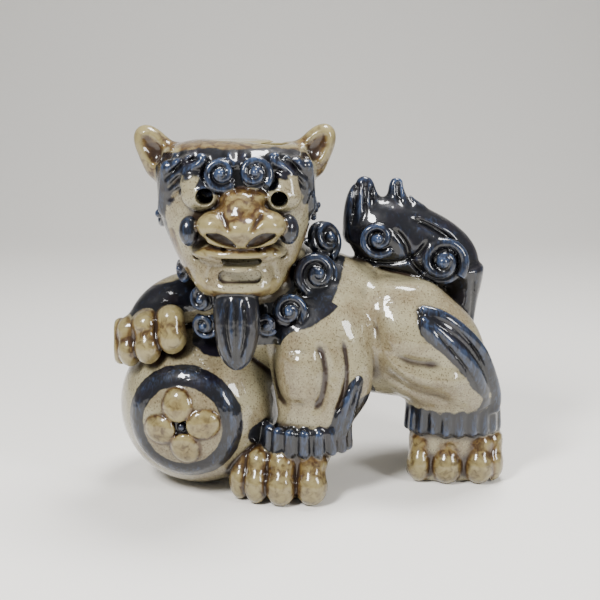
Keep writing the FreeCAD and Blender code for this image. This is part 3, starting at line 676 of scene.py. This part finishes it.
# The fingers of the raised paw on its box: tip and knuckle, each with the half sizes of its lump in mm.
FINGERS = [
    (((0.59, -0.30, 0.12), (6.7, 7.0, 8.0)), ((0.56, -0.12, 0.68), (6.2, 6.6, 5.6))),
    (((-0.05, -0.22, -0.26), (6.1, 6.8, 7.6)), ((-0.10, 0.02, 0.42), (5.9, 6.4, 6.2))),
    (((-0.58, 0.17, -0.46), (5.2, 6.4, 7.2)), ((-0.61, 0.40, 0.16), (5.2, 6.0, 6.0))),
    (((-0.88, 0.66, -0.52), (4.0, 5.8, 7.2)), ((-0.87, 0.80, 0.06), (4.0, 5.6, 5.6))),
]


def lay_paws(settings):
    """Toes with their knuckles, the ribbed cuffs above them, and the flames of fur."""
    groove = settings.groove / MM
    for node in ("left_forepaw_toes", "right_forepaw_toes", "left_hind_toes", "right_hind_toes"):
        lay(node, fillet=1.6)
    join_toes(clays["right_forepaw_toes"], FINGERS, fillet=3.0)
    shape_paw("left_forepaw_toes", FOREPAW)
    shape_paw("left_hind_toes", HINDPAW)
    shape_paw("right_hind_toes", HINDPAW)
    for node in ("left_fore_cuff", "left_hind_cuff", "right_hind_cuff"):
        lay(node, fillet=2.5, soften=0.7)
    for node in ("left_elbow_flame", "left_rump_flames", "right_rump_flames"):
        lay(node, fillet=1.6)
    elbow = [(0.72, 0.90), (0.40, 0.40), (0.08, -0.20), (-0.20, -0.85)]
    press(clays["left_elbow_flame"], elbow, 0.9, groove)
    for node, far in (("left_rump_flames", -1), ("right_rump_flames", 1)):
        for strand in ([(-0.85, 0.90), (-0.25, 0.68), (0.28, 0.25), (0.66, -0.35), (0.80, -0.90)],
                       [(-0.80, 0.75), (-0.35, 0.35), (0.10, -0.10), (0.45, -0.60)]):
            press(clays[node], strand, 0.9, groove, far)


# The strands combed along each piece of the tail: half width in mm, depth in grooves, and paths on its box.
TAIL_STRANDS = {
    "tail_plume": (1.3, 2.0, [
        [(-0.86, -0.28), (-0.61, -0.38), (-0.20, -0.36), (0.10, -0.12), (0.20, 0.24)],
        [(-0.10, 0.62), (0.22, 0.44), (0.55, 0.13), (0.78, -0.36)],
        [(-0.36, 0.46), (-0.14, 0.13), (-0.06, -0.30), (0.20, -0.70)],
        [(-0.61, -0.52), (-0.20, -0.60), (0.17, -0.81)]]),
    "tail_stem": (1.0, 1.0, [[(0.1, -0.9), (0.3, 0.0), (0.2, 0.9)]]),
    "tail_front_flame": (1.3, 2.0, [
        [(-0.15, 0.90), (-0.32, 0.29), (-0.50, -0.60)],
        [(0.20, 0.92), (0.25, 0.30), (0.15, -0.60)],
        [(0.55, 0.75), (0.62, 0.10), (0.75, -0.60)]]),
    "tail_rear_flame": (1.1, 1.6, [
        [(-0.50, 0.85), (-0.45, -0.30), (-0.20, -0.95)],
        [(-0.10, 0.80), (0.05, -0.30), (0.45, -0.95)]]),
}


def lay_tail(settings):
    """The tail's stem, plume and flames, with the fur combed along them on both sides."""
    for node, (width, depth, strands) in TAIL_STRANDS.items():
        lay(node, fillet=4.0, soften=0.8)
        for strand in strands:
            press(clays[node], strand, width, settings.groove / MM * depth, side=0)


# Brush strokes of glaze that run past their own pieces: node, side, path on its box, half width in mm.
DARK_STROKES = [
    ("head_shell", -1, [(-0.86, 0.70), (-0.41, 0.80), (0.08, 0.78), (0.56, 0.80), (0.94, 0.66)], 4.4),
    ("head_shell", -1, [(-0.35, 0.50), (0.05, 0.42), (0.46, 0.50)], 3.0),
    ("head_shell", -1, [(-0.98, 0.60), (-0.98, 0.10), (-0.90, -0.30)], 3.0),
    ("head_shell", -1, [(1.00, 0.60), (1.00, 0.10), (0.98, -0.30)], 3.0),
    ("head_shell", 1, [(-0.70, 0.50), (0.0, 0.55), (0.70, 0.50)], 10.0),
    ("head_shell", 1, [(-0.70, -0.10), (0.0, -0.20), (0.70, -0.10)], 12.0),
    ("body_shell", -1, [(-0.07, 0.80), (-0.16, 0.40), (-0.34, 0.05), (-0.66, -0.02)], 9.0),
    ("body_shell", 1, [(-0.10, 0.80), (-0.35, 0.60), (-0.75, 0.30)], 12.0),
    ("left_foreleg", -1, [(0.50, 1.00), (0.25, 0.86), (-0.10, 0.74), (-0.60, 0.66)], 5.5),
    ("left_foreleg", 0, [(-0.75, -0.38), (0.0, -0.42), (0.60, -0.34), (0.90, -0.10)], 5.0),
    ("left_hind_leg", 0, [(-0.36, -0.36), (0.20, -0.42), (0.90, -0.36), (1.0, -0.10), (0.95, 0.15)], 4.6),
    ("right_hind_leg", 0, [(-0.30, -0.36), (0.20, -0.42), (0.90, -0.36), (0.95, -0.10), (0.90, 0.15)], 4.6),
    ("right_foreleg", 0, [(-0.85, -0.10), (-0.30, 0.35), (0.30, 0.50), (0.95, 0.40)], 7.0),
    ("ball_shell", -1, [(0.02, 0.93), (0.22, 0.82), (0.42, 0.84)], 3.0),
]
OCHRE_STROKES = [
    ("head_shell", 0, [(-0.70, 0.98), (0.0, 1.0), (0.70, 0.98)], 5.0),
    ("head_shell", -1, [(-0.80, -0.20), (-0.72, -0.55), (-0.50, -0.90), (0.0, -1.0)], 2.4),
    ("head_shell", -1, [(0.94, -0.20), (0.80, -0.55), (0.60, -0.90), (0.0, -1.0)], 2.4),
    ("lower_jaw", -1, [(-0.90, 0.0), (-0.55, -0.80), (0.55, -0.80), (0.90, 0.0)], 2.4),
    ("upper_lip", -1, [(-0.90, 0.30), (0.90, 0.30)], 2.0),
]


def fire(clay_settings, glaze_settings):
    """Makes the melt, its paint fields and every glazed piece."""
    statue = Statue()
    ochre_pieces = paint_field("ochre_glaze", glaze_settings.ochre_spread / MM, [])
    ochre = paint_field("ochre_glaze", glaze_settings.ochre_spread / MM, OCHRE_STROKES)
    dark = paint_field("blue_black_glaze", glaze_settings.dark_spread / MM, DARK_STROKES)
    centre, radius, direction = medallion()
    shell = clays["ball_shell"]
    window = shell.window()
    diamond = ball_shape(shell.places(), centre + direction * radius, (DIAMOND,) * 3).astype(np.float32)
    dark[window] = np.minimum(dark[window], diamond)
    dark = np.maximum(dark, -ochre_pieces)
    fields = {"dark": dark, "ochre": ochre, "relief": statue.relief()}
    material = glaze_material("fired_glaze", glaze_settings)
    for index in range(len(statue.clays)):
        mesh_piece(statue, index, fields, material, clay_settings.seam_lap / MM)


# ------------------------------------------------------------------ the melt and its paint

class Statue:
    """The melt of all the clay, with which piece is nearest everywhere."""

    def __init__(self):
        self.clays = list(clays.values())
        self.first = np.full(tuple(SHAPE), FAR, np.float32)
        self.second = np.full(tuple(SHAPE), FAR, np.float32)
        self.owner = np.full(tuple(SHAPE), -1, np.int16)
        for index, clay in enumerate(self.clays):
            window = clay.window()
            wins = clay.distance < self.first[window]
            runner_up = np.minimum(self.second[window], clay.distance)
            self.second[window] = np.where(wins, self.first[window], runner_up)
            self.owner[window][wins] = index
            self.first[window] = np.minimum(self.first[window], clay.distance)
        ball = self.melted([clay for clay in self.clays if clay.name.startswith("ball")])
        lion = self.melted([clay for clay in self.clays if not clay.name.startswith("ball")])
        self.surface = np.maximum(melt(lion, ball, CRISP), outside_box())
        for hole in holes:
            self.cut(*hole)

    def melted(self, group):
        """The smooth union of a group of pieces, on the statue's grid."""
        surface = np.full(tuple(SHAPE), BAND, np.float32)
        for clay in group:
            window = clay.window()
            surface[window] = melt(surface[window], clay.distance, clay.fillet)
        return surface

    def cut(self, line, radius, back, swell):
        """Opens one hole in the melt."""
        ends = np.array(line)
        low = np.floor((ends.min(0) - radius - BAND - ORIGIN[[0, 2]]) / VOXEL).astype(int)
        high = np.ceil((ends.max(0) + radius + BAND - ORIGIN[[0, 2]]) / VOXEL).astype(int)
        window = (slice(low[0], high[0]), slice(None), slice(low[1], high[1]))
        x, z = (ORIGIN[k] + np.arange(low[i], high[i]) * VOXEL for i, k in enumerate((0, 2)))
        y = ORIGIN[1] + np.arange(SHAPE[1]) * VOXEL
        near, along = stroke(x[:, None, None], z[None, None, :], line)
        hole = near - radius * (1 - swell * (1 - 4 * along * (1 - along)))
        hole = np.maximum(hole, y[None, :, None] - back)
        self.surface[window] = carve(self.surface[window], np.clip(hole, -BAND, BAND), CRISP)

    def relief(self):
        """How far each place stands out of, or lies in, the surface round it, in mm."""
        return blurred(self.surface, RELIEF_REACH) - self.surface

    def piece(self, index, lap):
        """The distances that bound one piece: the glazed surface outside and its seams inside."""
        clay = self.clays[index]
        window = clay.window()
        others = np.where(self.owner[window] == index, self.second[window], self.first[window])
        beyond = (clay.distance - others) / 2
        lapped = self.surface[window] + SEAM_INSET * smooth(beyond / lap)
        return np.maximum(lapped, beyond - lap)


def outside_box():
    """Distance out of the statue's box, for every voxel."""
    axes = [ORIGIN[k] + np.arange(SHAPE[k]) * VOXEL for k in range(3)]
    out = [np.maximum(LOW[k] - axis, axis - HIGH[k]).astype(np.float32) for k, axis in enumerate(axes)]
    return np.maximum(np.maximum(out[0][:, None, None], out[1][None, :, None]), out[2][None, None, :])


def paint_field(slot, spread, strokes):
    """Distance in mm from the pieces of a slot, less what the brush spreads, and from extra brush strokes."""
    field = np.full(tuple(SHAPE), FAR, np.float32)
    for clay in clays.values():
        if slot_of(clay.name) == slot:
            window = clay.window()
            field[window] = melt(field[window], clay.distance - np.float32(spread), 2.0)
    for node, side, path, width in strokes:
        clay = clays[node]
        x, _, z = clay.places()
        near, _ = stroke(x, z, on_box(clay, path))
        laid = near - width + FAR * (1 - flank(clay, side))
        laid = np.broadcast_to(laid, clay.distance.shape)
        window = clay.window()
        field[window] = np.minimum(field[window], laid.astype(np.float32))
    return field


def slot_of(node):
    """The record's material slot for a node."""
    return next(part["material_slot"] for part in frame["record"]["subparts"] if part["node"] == node)


def thinned(mesh, share):
    """The same mesh with only this share of its triangles."""
    holder = bpy.data.objects.new("holder", mesh)
    bpy.context.scene.collection.objects.link(holder)
    holder.modifiers.new("thin", "DECIMATE").ratio = share
    evaluated = holder.evaluated_get(bpy.context.evaluated_depsgraph_get())
    thin = bpy.data.meshes.new_from_object(evaluated)
    bpy.data.objects.remove(holder)
    return thin


def quad_mesh(name, points, quads):
    """A mesh of quads on points given in mm."""
    mesh = bpy.data.meshes.new(name)
    mesh.vertices.add(len(points))
    mesh.vertices.foreach_set("co", (points * MM).astype(np.float32).ravel())
    mesh.loops.add(quads.size)
    mesh.loops.foreach_set("vertex_index", quads.astype(np.int32).ravel())
    mesh.polygons.add(len(quads))
    mesh.polygons.foreach_set("loop_start", np.arange(0, quads.size, 4, dtype=np.int32))
    mesh.update(calc_edges=True)
    mesh.validate()
    return mesh


def drawn_on(surface, points, on_glaze):
    """The points, with those on the glaze drawn onto the surface itself."""
    for _ in range(2):
        gradient = slope(surface, points)
        size = np.maximum(np.linalg.norm(gradient, axis=1), 1e-6)
        shift = sample(surface, points) * 2 * VOXEL / size
        step = gradient / size[:, None] * np.clip(shift, -LONGEST_STEP, LONGEST_STEP)[:, None]
        points = np.where(on_glaze[:, None], points - step, points)
    return points


def shade_by(mesh, surface, points, on_glaze):
    """Gives the glazed part of a mesh the smooth surface's own normals."""
    mesh.shade_smooth()
    own = np.empty(len(mesh.vertices) * 3, np.float32)
    mesh.vertex_normals.foreach_get("vector", own)
    gradient = slope(surface, points)
    glaze_normals = gradient / np.maximum(np.linalg.norm(gradient, axis=1), 1e-6)[:, None]
    normals = np.where(on_glaze[:, None], glaze_normals, own.reshape(-1, 3))
    mesh.normals_split_custom_set_from_vertices(normals.astype(np.float32))


def mesh_piece(statue, index, fields, material, lap):
    """Makes one glazed piece, painted by the fields, and links it into the scene under the root."""
    clay = statue.clays[index]
    grid = vdb.FloatGrid()
    grid.background = BAND
    grid.copyFromArray(np.ascontiguousarray(statue.piece(index, lap), dtype=np.float32))
    points, quads = grid.convertToQuads()
    quads = outward(points, quads)
    points = ORIGIN + (points.astype(float) + clay.corner) * VOXEL
    on_glaze = np.abs(sample(statue.surface, points)) < ON_GLAZE * VOXEL
    points = drawn_on(statue.surface, points, on_glaze)
    mesh = quad_mesh(clay.name, points, quads)
    if 2 * len(quads) > MOST_TRIANGLES:
        mesh = thinned(mesh, MOST_TRIANGLES / (2 * len(quads)))
        points = mesh_arrays(mesh)[0] / MM
        on_glaze = np.abs(sample(statue.surface, points)) < ON_GLAZE * VOXEL
    for name, field in fields.items():
        attribute = mesh.attributes.new(name, "FLOAT", "POINT")
        attribute.data.foreach_set("value", sample(field, points).astype(np.float32))
    shade_by(mesh, statue.surface, points, on_glaze)
    mesh.materials.append(material)
    piece = bpy.data.objects.new("glazed_" + clay.name, mesh)
    bpy.context.scene.collection.objects.link(piece)
    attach(piece, "root")
    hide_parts(clay.name)


# ------------------------------------------------------------------ glazes

def colour(code):
    """Linear RGBA of an sRGB hex colour such as "ac9678"."""
    channels = [int(code[i:i + 2], 16) / 255 for i in (0, 2, 4)]
    return tuple(c / 12.92 if c <= 0.04045 else ((c + 0.055) / 1.055) ** 2.4 for c in channels) + (1.0,)


# The noises in the glaze: size in mm, detail and distortion.  The real specks look finer than 0.7 mm, and are
# drawn that coarse so that they show.
PATTERNS = {
    "clouding": (18.0, 3.0, 0.0),
    "grain": (1.1, 3.0, 0.0),
    "specks": (0.7, 0.0, 0.0),
    "mottle": (3.0, 5.0, 0.8),
    "streaks": (1.4, 4.0, 0.9),
    "pools": (11.0, 2.0, 0.0),
    "brush": (4.0, 3.0, 0.0),
    "ripple": (4.0, 1.0, 0.0),
    "pits": (0.9, 2.0, 0.0),
}
STREAK_SCALE = (1.0, 1.0, 0.28)             # draws the streaks out along Z


def glaze_material(name, settings):
    """Clear, blue-black and ochre glazes over speckled buff stoneware, each where its paint field says."""
    material = bpy.data.materials.new(name)
    material.use_nodes = True
    tree = material.node_tree
    tree.nodes.clear()
    place = add(tree, "ShaderNodeTexCoord").outputs["Object"]
    drawn_out = add(tree, "ShaderNodeMapping", {"Vector": place, "Scale": STREAK_SCALE}).outputs[0]
    noise = {}
    for label, (size, detail, distortion) in PATTERNS.items():
        node = add(tree, "ShaderNodeTexNoise", {
            "Vector": drawn_out if label == "streaks" else place, "Scale": 1 / (size * MM),
            "Detail": detail, "Distortion": distortion})
        noise[label] = node.outputs["Fac"]
    relief, dark, ochre = (add(tree, "ShaderNodeAttribute", attribute_name=field).outputs["Fac"]
                           for field in ("relief", "dark", "ochre"))

    def over(under, where, low, high, top, strength=1.0):
        """Lays one colour over another, more of it as the value goes from low to high."""
        fade = add(tree, "ShaderNodeMapRange", {
            "Value": where, "From Min": low, "From Max": high, "To Min": 0.0, "To Max": strength},
            interpolation_type="SMOOTHSTEP")
        return add(tree, "ShaderNodeMix", {0: fade.outputs[0], 6: under, 7: top}, data_type="RGBA").outputs[2]

    def uneven(field, pattern, amount):
        """A field stirred by a noise about its middle."""
        middled = add(tree, "ShaderNodeMath", {0: noise[pattern], 1: -0.5}, operation="ADD").outputs[0]
        stirred = add(tree, "ShaderNodeMath", {0: middled, 1: amount, 2: field}, operation="MULTIPLY_ADD")
        return stirred.outputs[0]

    # Iron specks burnt through the clear glaze, broad warm and grey clouding, and brown darkening in creases,
    # partly glaze pooling and partly painted shade.
    tan = over(colour("6c6048"), noise["clouding"], 0.35, 0.65, tuple(settings.tan))
    tan = over(tan, noise["grain"], 0.35, 0.70, colour("989275"), 0.35)
    tan = over(tan, noise["specks"], 0.62, 0.72, colour("3f3020"), 0.65)
    # Painted shade in creases and hollows, partly glaze pooling: darker brown the deeper the relief sinks.
    tan = over(tan, relief, -0.02, -0.40, colour("2c2119"))

    # Ochre breaks from dark brown in the hollows to straw on the crests, mottled with olive, and the hollows
    # are darkened further, partly glaze pooling and partly painted shade.
    straw = over(colour("38240f"), noise["mottle"], 0.36, 0.60, colour("5a4521"))
    straw = over(straw, uneven(relief, "mottle", 0.8), -0.08, 0.45, tuple(settings.straw))
    # Painted shade in hollows, partly glaze pooling: darker brown the deeper the relief sinks.
    straw = over(straw, relief, -0.02, -0.4, colour("2a1c12"))

    # Blue-black breaks to slate where the brush was thin over an edge, in fine streaks, pools black here and
    # there, and goes near black in the hollows, partly glaze pooling and partly painted shade.
    slate = over(tuple(settings.dark), uneven(relief, "streaks", 1.7), 0.15, 1.3, tuple(settings.slate), 0.8)
    slate = over(slate, noise["pools"], 0.48, 0.70, colour("161019"), 0.5)
    # Painted shade in hollows, partly glaze pooling: near black the deeper the relief sinks.
    slate = over(slate, relief, 0.0, -0.35, colour("040407"))

    shade = over(tan, uneven(ochre, "brush", 2.2), 0.6, -0.6, straw)
    shade = over(shade, uneven(dark, "brush", 1.7), 0.35, -0.35, slate)

    # Fired glaze is never quite flat: it ripples over a few millimetres, and bubbles pit it here and there.
    ripple = add(tree, "ShaderNodeBump", {
        "Height": noise["ripple"], "Strength": 1.0, "Distance": 0.25 * MM}).outputs[0]
    pitted = add(tree, "ShaderNodeBump", {
        "Height": noise["pits"], "Strength": 0.5, "Distance": 0.05 * MM, "Normal": ripple}).outputs[0]
    shader = add(tree, "ShaderNodeBsdfPrincipled", {
        "Base Color": shade, "Roughness": 0.4, "IOR": 1.5, "Specular IOR Level": 0.15, "Coat Weight": 1.0,
        "Coat Roughness": 0.05, "Coat IOR": 1.52, "Normal": pitted, "Coat Normal": ripple})
    add(tree, "ShaderNodeOutputMaterial", {"Surface": shader.outputs[0]})
    return material


def plain_material(name, shade, roughness):
    """A matt surface of one linear colour."""
    material = bpy.data.materials.new(name)
    material.use_nodes = True
    shader = material.node_tree.nodes["Principled BSDF"]
    shader.inputs["Base Color"].default_value = shade
    shader.inputs["Roughness"].default_value = roughness
    return material


# ------------------------------------------------------------------ stage

def make_floor(settings):
    """A sheet of matt paper that lies under the statue and sweeps up behind it."""
    half_width, front, bend, radius, top = 3.0, -2.0, 0.55, 0.5, 3.0     # metres
    profile = [(front, 0.0), (bend, 0.0)]
    for step in range(1, 25):
        turn = math.radians(90 * step / 24)
        profile.append((bend + radius * math.sin(turn), radius * (1 - math.cos(turn))))
    profile.append((bend + radius, top))
    points = [(x, y, z) for y, z in profile for x in (-half_width, half_width)]
    faces = [(2 * i, 2 * i + 1, 2 * i + 3, 2 * i + 2) for i in range(len(profile) - 1)]
    mesh = bpy.data.meshes.new("floor")
    mesh.from_pydata(points, [], faces)
    mesh.shade_smooth()
    mesh.materials.append(plain_material("matt_paper", settings.floor, 0.6))
    floor = bpy.data.objects.new("floor", mesh)
    bpy.context.scene.collection.objects.link(floor)
    floor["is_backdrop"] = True


def aim(thing, place, target):
    """Puts a camera or a light at a place, facing the target."""
    thing.location = place
    thing.rotation_euler = (target - place).to_track_quat("-Z", "Y").to_euler()


def make_camera(settings):
    """A camera a little above the statue, in front of it."""
    camera = bpy.data.objects.new("camera", bpy.data.cameras.new("camera"))
    bpy.context.scene.collection.objects.link(camera)
    camera.data.lens = settings.lens
    camera.data.clip_start = 0.01
    back = Vector((0, -math.cos(settings.elevation), math.sin(settings.elevation))) * settings.distance
    aim(camera, LOOK_AT * MM + back, LOOK_AT * MM)
    bpy.context.scene.camera = camera


WORLD_STRENGTH = 0.28                       # even light from all round
LIT_POINT = Vector((0, 0, 80))              # mm, what the soft boxes face
# Soft boxes: name, place in mm, width and height in mm, power in watts.
SOFT_BOXES = [
    ("window", Vector((-330, -420, 560)), (150, 220), 8.5),
    ("fill", Vector((480, -380, 330)), (160, 240), 3.4),
    ("top", Vector((120, 120, 700)), (260, 180), 6.5),
]


def make_lights():
    """Three soft boxes and an even pale surround."""
    for name, place, size, power in SOFT_BOXES:
        light = bpy.data.lights.new(name, "AREA")
        light.shape = "RECTANGLE"
        light.size, light.size_y = size[0] * MM, size[1] * MM
        light.energy = power
        lamp = bpy.data.objects.new(name, light)
        bpy.context.scene.collection.objects.link(lamp)
        aim(lamp, place * MM, LIT_POINT * MM)
    world = bpy.data.worlds.new("studio")
    bpy.context.scene.world = world
    world.use_nodes = True
    background = world.node_tree.nodes["Background"]
    background.inputs["Color"].default_value = colour("f2f4f7")
    background.inputs["Strength"].default_value = WORLD_STRENGTH


# ------------------------------------------------------------------ settings

def length(name, description, default):
    """A setting that is a length, its default given in mm."""
    return bpy.props.FloatProperty(name=name, description=description, default=default * MM,
                                   subtype="DISTANCE", unit="LENGTH", precision=5)


def part_of(name, description, default):
    """A setting that is a part of something."""
    return bpy.props.FloatProperty(name=name, description=description, default=default, subtype="FACTOR")


def tint(name, description, code):
    """A setting that is a colour, its default an sRGB hex code."""
    return bpy.props.FloatVectorProperty(name=name, description=description, default=colour(code), size=4,
                                         subtype="COLOR")


class FooDogClay(bpy.types.PropertyGroup):
    leg_fillet: length("Leg fillet", "How far the legs are smoothed into the body", 5.0)
    groove: length("Groove depth", "Depth of the grooves drawn in the haunches and the legs", 1.0)
    seam_lap: length("Seam lap", "How far a piece runs on under its neighbour", 0.9)


class FooDogCurls(bpy.types.PropertyGroup):
    turns: bpy.props.FloatProperty(name="Turns", description="Turns that each rope of clay makes",
                                   default=1.5)
    rope: part_of("Rope", "Thickness of the rope, as part of the curl's radius", 0.2)
    rise: part_of("Rise", "Height of the knob above the rim, as part of the curl's radius", 0.32)


class FooDogGlaze(bpy.types.PropertyGroup):
    tan: tint("Tan", "Buff stoneware under clear glaze", "867f64")
    dark: tint("Blue-black", "Brushed glaze where it lies thick", "0a0b11")
    slate: tint("Slate", "The same glaze where it breaks thin over an edge", "3d5072")
    straw: tint("Straw", "Ochre glaze on a crest", "80754f")
    dark_spread: length("Brush spread", "How far the blue-black brush runs past its pieces", 1.2)
    ochre_spread: length("Ochre spread", "How far the ochre brush runs past its pieces", 0.8)


class FooDogStage(bpy.types.PropertyGroup):
    distance: length("Camera distance", "From the camera to the middle of the statue", 520.0)
    elevation: bpy.props.FloatProperty(name="Elevation", description="Height of the camera above level",
                                       default=math.radians(14.0), subtype="ANGLE")
    lens: bpy.props.FloatProperty(name="Lens", description="Focal length on a 36 mm sensor",
                                  default=69.3, unit="CAMERA")
    floor: tint("Floor", "Matt paper under the statue", "e9e6e0")


# ------------------------------------------------------------------ operators

class FOODOG_OT_ball(bpy.types.Operator):
    """Lays the clay of the ball with its ring and petals"""
    bl_idname = "foodog.ball"
    bl_label = "Ball"

    def execute(self, context):
        lay_ball()
        return {"FINISHED"}


class FOODOG_OT_castings(bpy.types.Operator):
    """Lays the clay of the body and the four legs"""
    bl_idname = "foodog.castings"
    bl_label = "Body and Legs"

    def execute(self, context):
        lay_castings(context.scene.foo_dog_clay)
        return {"FINISHED"}


class FOODOG_OT_face(bpy.types.Operator):
    """Lays the clay of the head, the ears, the eyes, the muzzle and the beard"""
    bl_idname = "foodog.face"
    bl_label = "Head and Face"

    def execute(self, context):
        lay_face(context.scene.foo_dog_clay)
        return {"FINISHED"}


class FOODOG_OT_paws(bpy.types.Operator):
    """Lays the clay of the toes, the cuffs and the flames of fur"""
    bl_idname = "foodog.paws"
    bl_label = "Paws and Fur"

    def execute(self, context):
        lay_paws(context.scene.foo_dog_clay)
        return {"FINISHED"}


class FOODOG_OT_tail(bpy.types.Operator):
    """Lays the clay of the tail's stem, plume and flames"""
    bl_idname = "foodog.tail"
    bl_label = "Tail"

    def execute(self, context):
        lay_tail(context.scene.foo_dog_clay)
        return {"FINISHED"}


class FOODOG_OT_curls(bpy.types.Operator):
    """Winds the snail curls of the brow, the mane and the tail"""
    bl_idname = "foodog.curls"
    bl_label = "Snail Curls"

    def execute(self, context):
        tree = coil_tree(plain_material("raw_clay", colour(RAW_CLAY), 0.9))
        for node, (direction, hand) in CURLS.items():
            lay_curl(node, direction, hand, tree, context.scene.foo_dog_curls)
        return {"FINISHED"}


class FOODOG_OT_fire(bpy.types.Operator):
    """Melts all the clay together, and cuts and glazes one piece for each CAD node"""
    bl_idname = "foodog.fire"
    bl_label = "Glazed Pieces"

    def execute(self, context):
        fire(context.scene.foo_dog_clay, context.scene.foo_dog_glaze)
        return {"FINISHED"}


class FOODOG_OT_stage(bpy.types.Operator):
    """Sets the floor, the camera and the soft lights"""
    bl_idname = "foodog.stage"
    bl_label = "Stage"

    def execute(self, context):
        settings = context.scene.foo_dog_stage
        make_floor(settings)
        make_camera(settings)
        make_lights()
        return {"FINISHED"}


OPERATORS = [FOODOG_OT_ball, FOODOG_OT_castings, FOODOG_OT_face, FOODOG_OT_paws, FOODOG_OT_tail,
             FOODOG_OT_curls, FOODOG_OT_fire, FOODOG_OT_stage]
SETTINGS = {"foo_dog_clay": FooDogClay, "foo_dog_curls": FooDogCurls, "foo_dog_glaze": FooDogGlaze,
            "foo_dog_stage": FooDogStage}


class FOODOG_PT_panel(bpy.types.Panel):
    """The statue's pieces in the order that they are made, and their settings"""
    bl_idname = "FOODOG_PT_panel"
    bl_label = "Foo Dog"
    bl_space_type = "VIEW_3D"
    bl_region_type = "UI"
    bl_category = "Foo Dog"

    def draw(self, context):
        for operator in OPERATORS:
            self.layout.operator(operator.bl_idname)
        for name, group in SETTINGS.items():
            box = self.layout.box()
            for setting in group.__annotations__:
                box.prop(getattr(context.scene, name), setting)


def register():
    for name, group in SETTINGS.items():
        bpy.utils.register_class(group)
        setattr(bpy.types.Scene, name, bpy.props.PointerProperty(type=group))
    for item in OPERATORS + [FOODOG_PT_panel]:
        bpy.utils.register_class(item)


def unregister():
    for item in [FOODOG_PT_panel] + OPERATORS[::-1]:
        bpy.utils.unregister_class(item)
    for name, group in SETTINGS.items():
        delattr(bpy.types.Scene, name)
        bpy.utils.unregister_class(group)


def main():
    register()
    for operator in OPERATORS:
        module, name = operator.bl_idname.split(".")
        getattr(getattr(bpy.ops, module), name)()


if __name__ == "__main__":
    main()
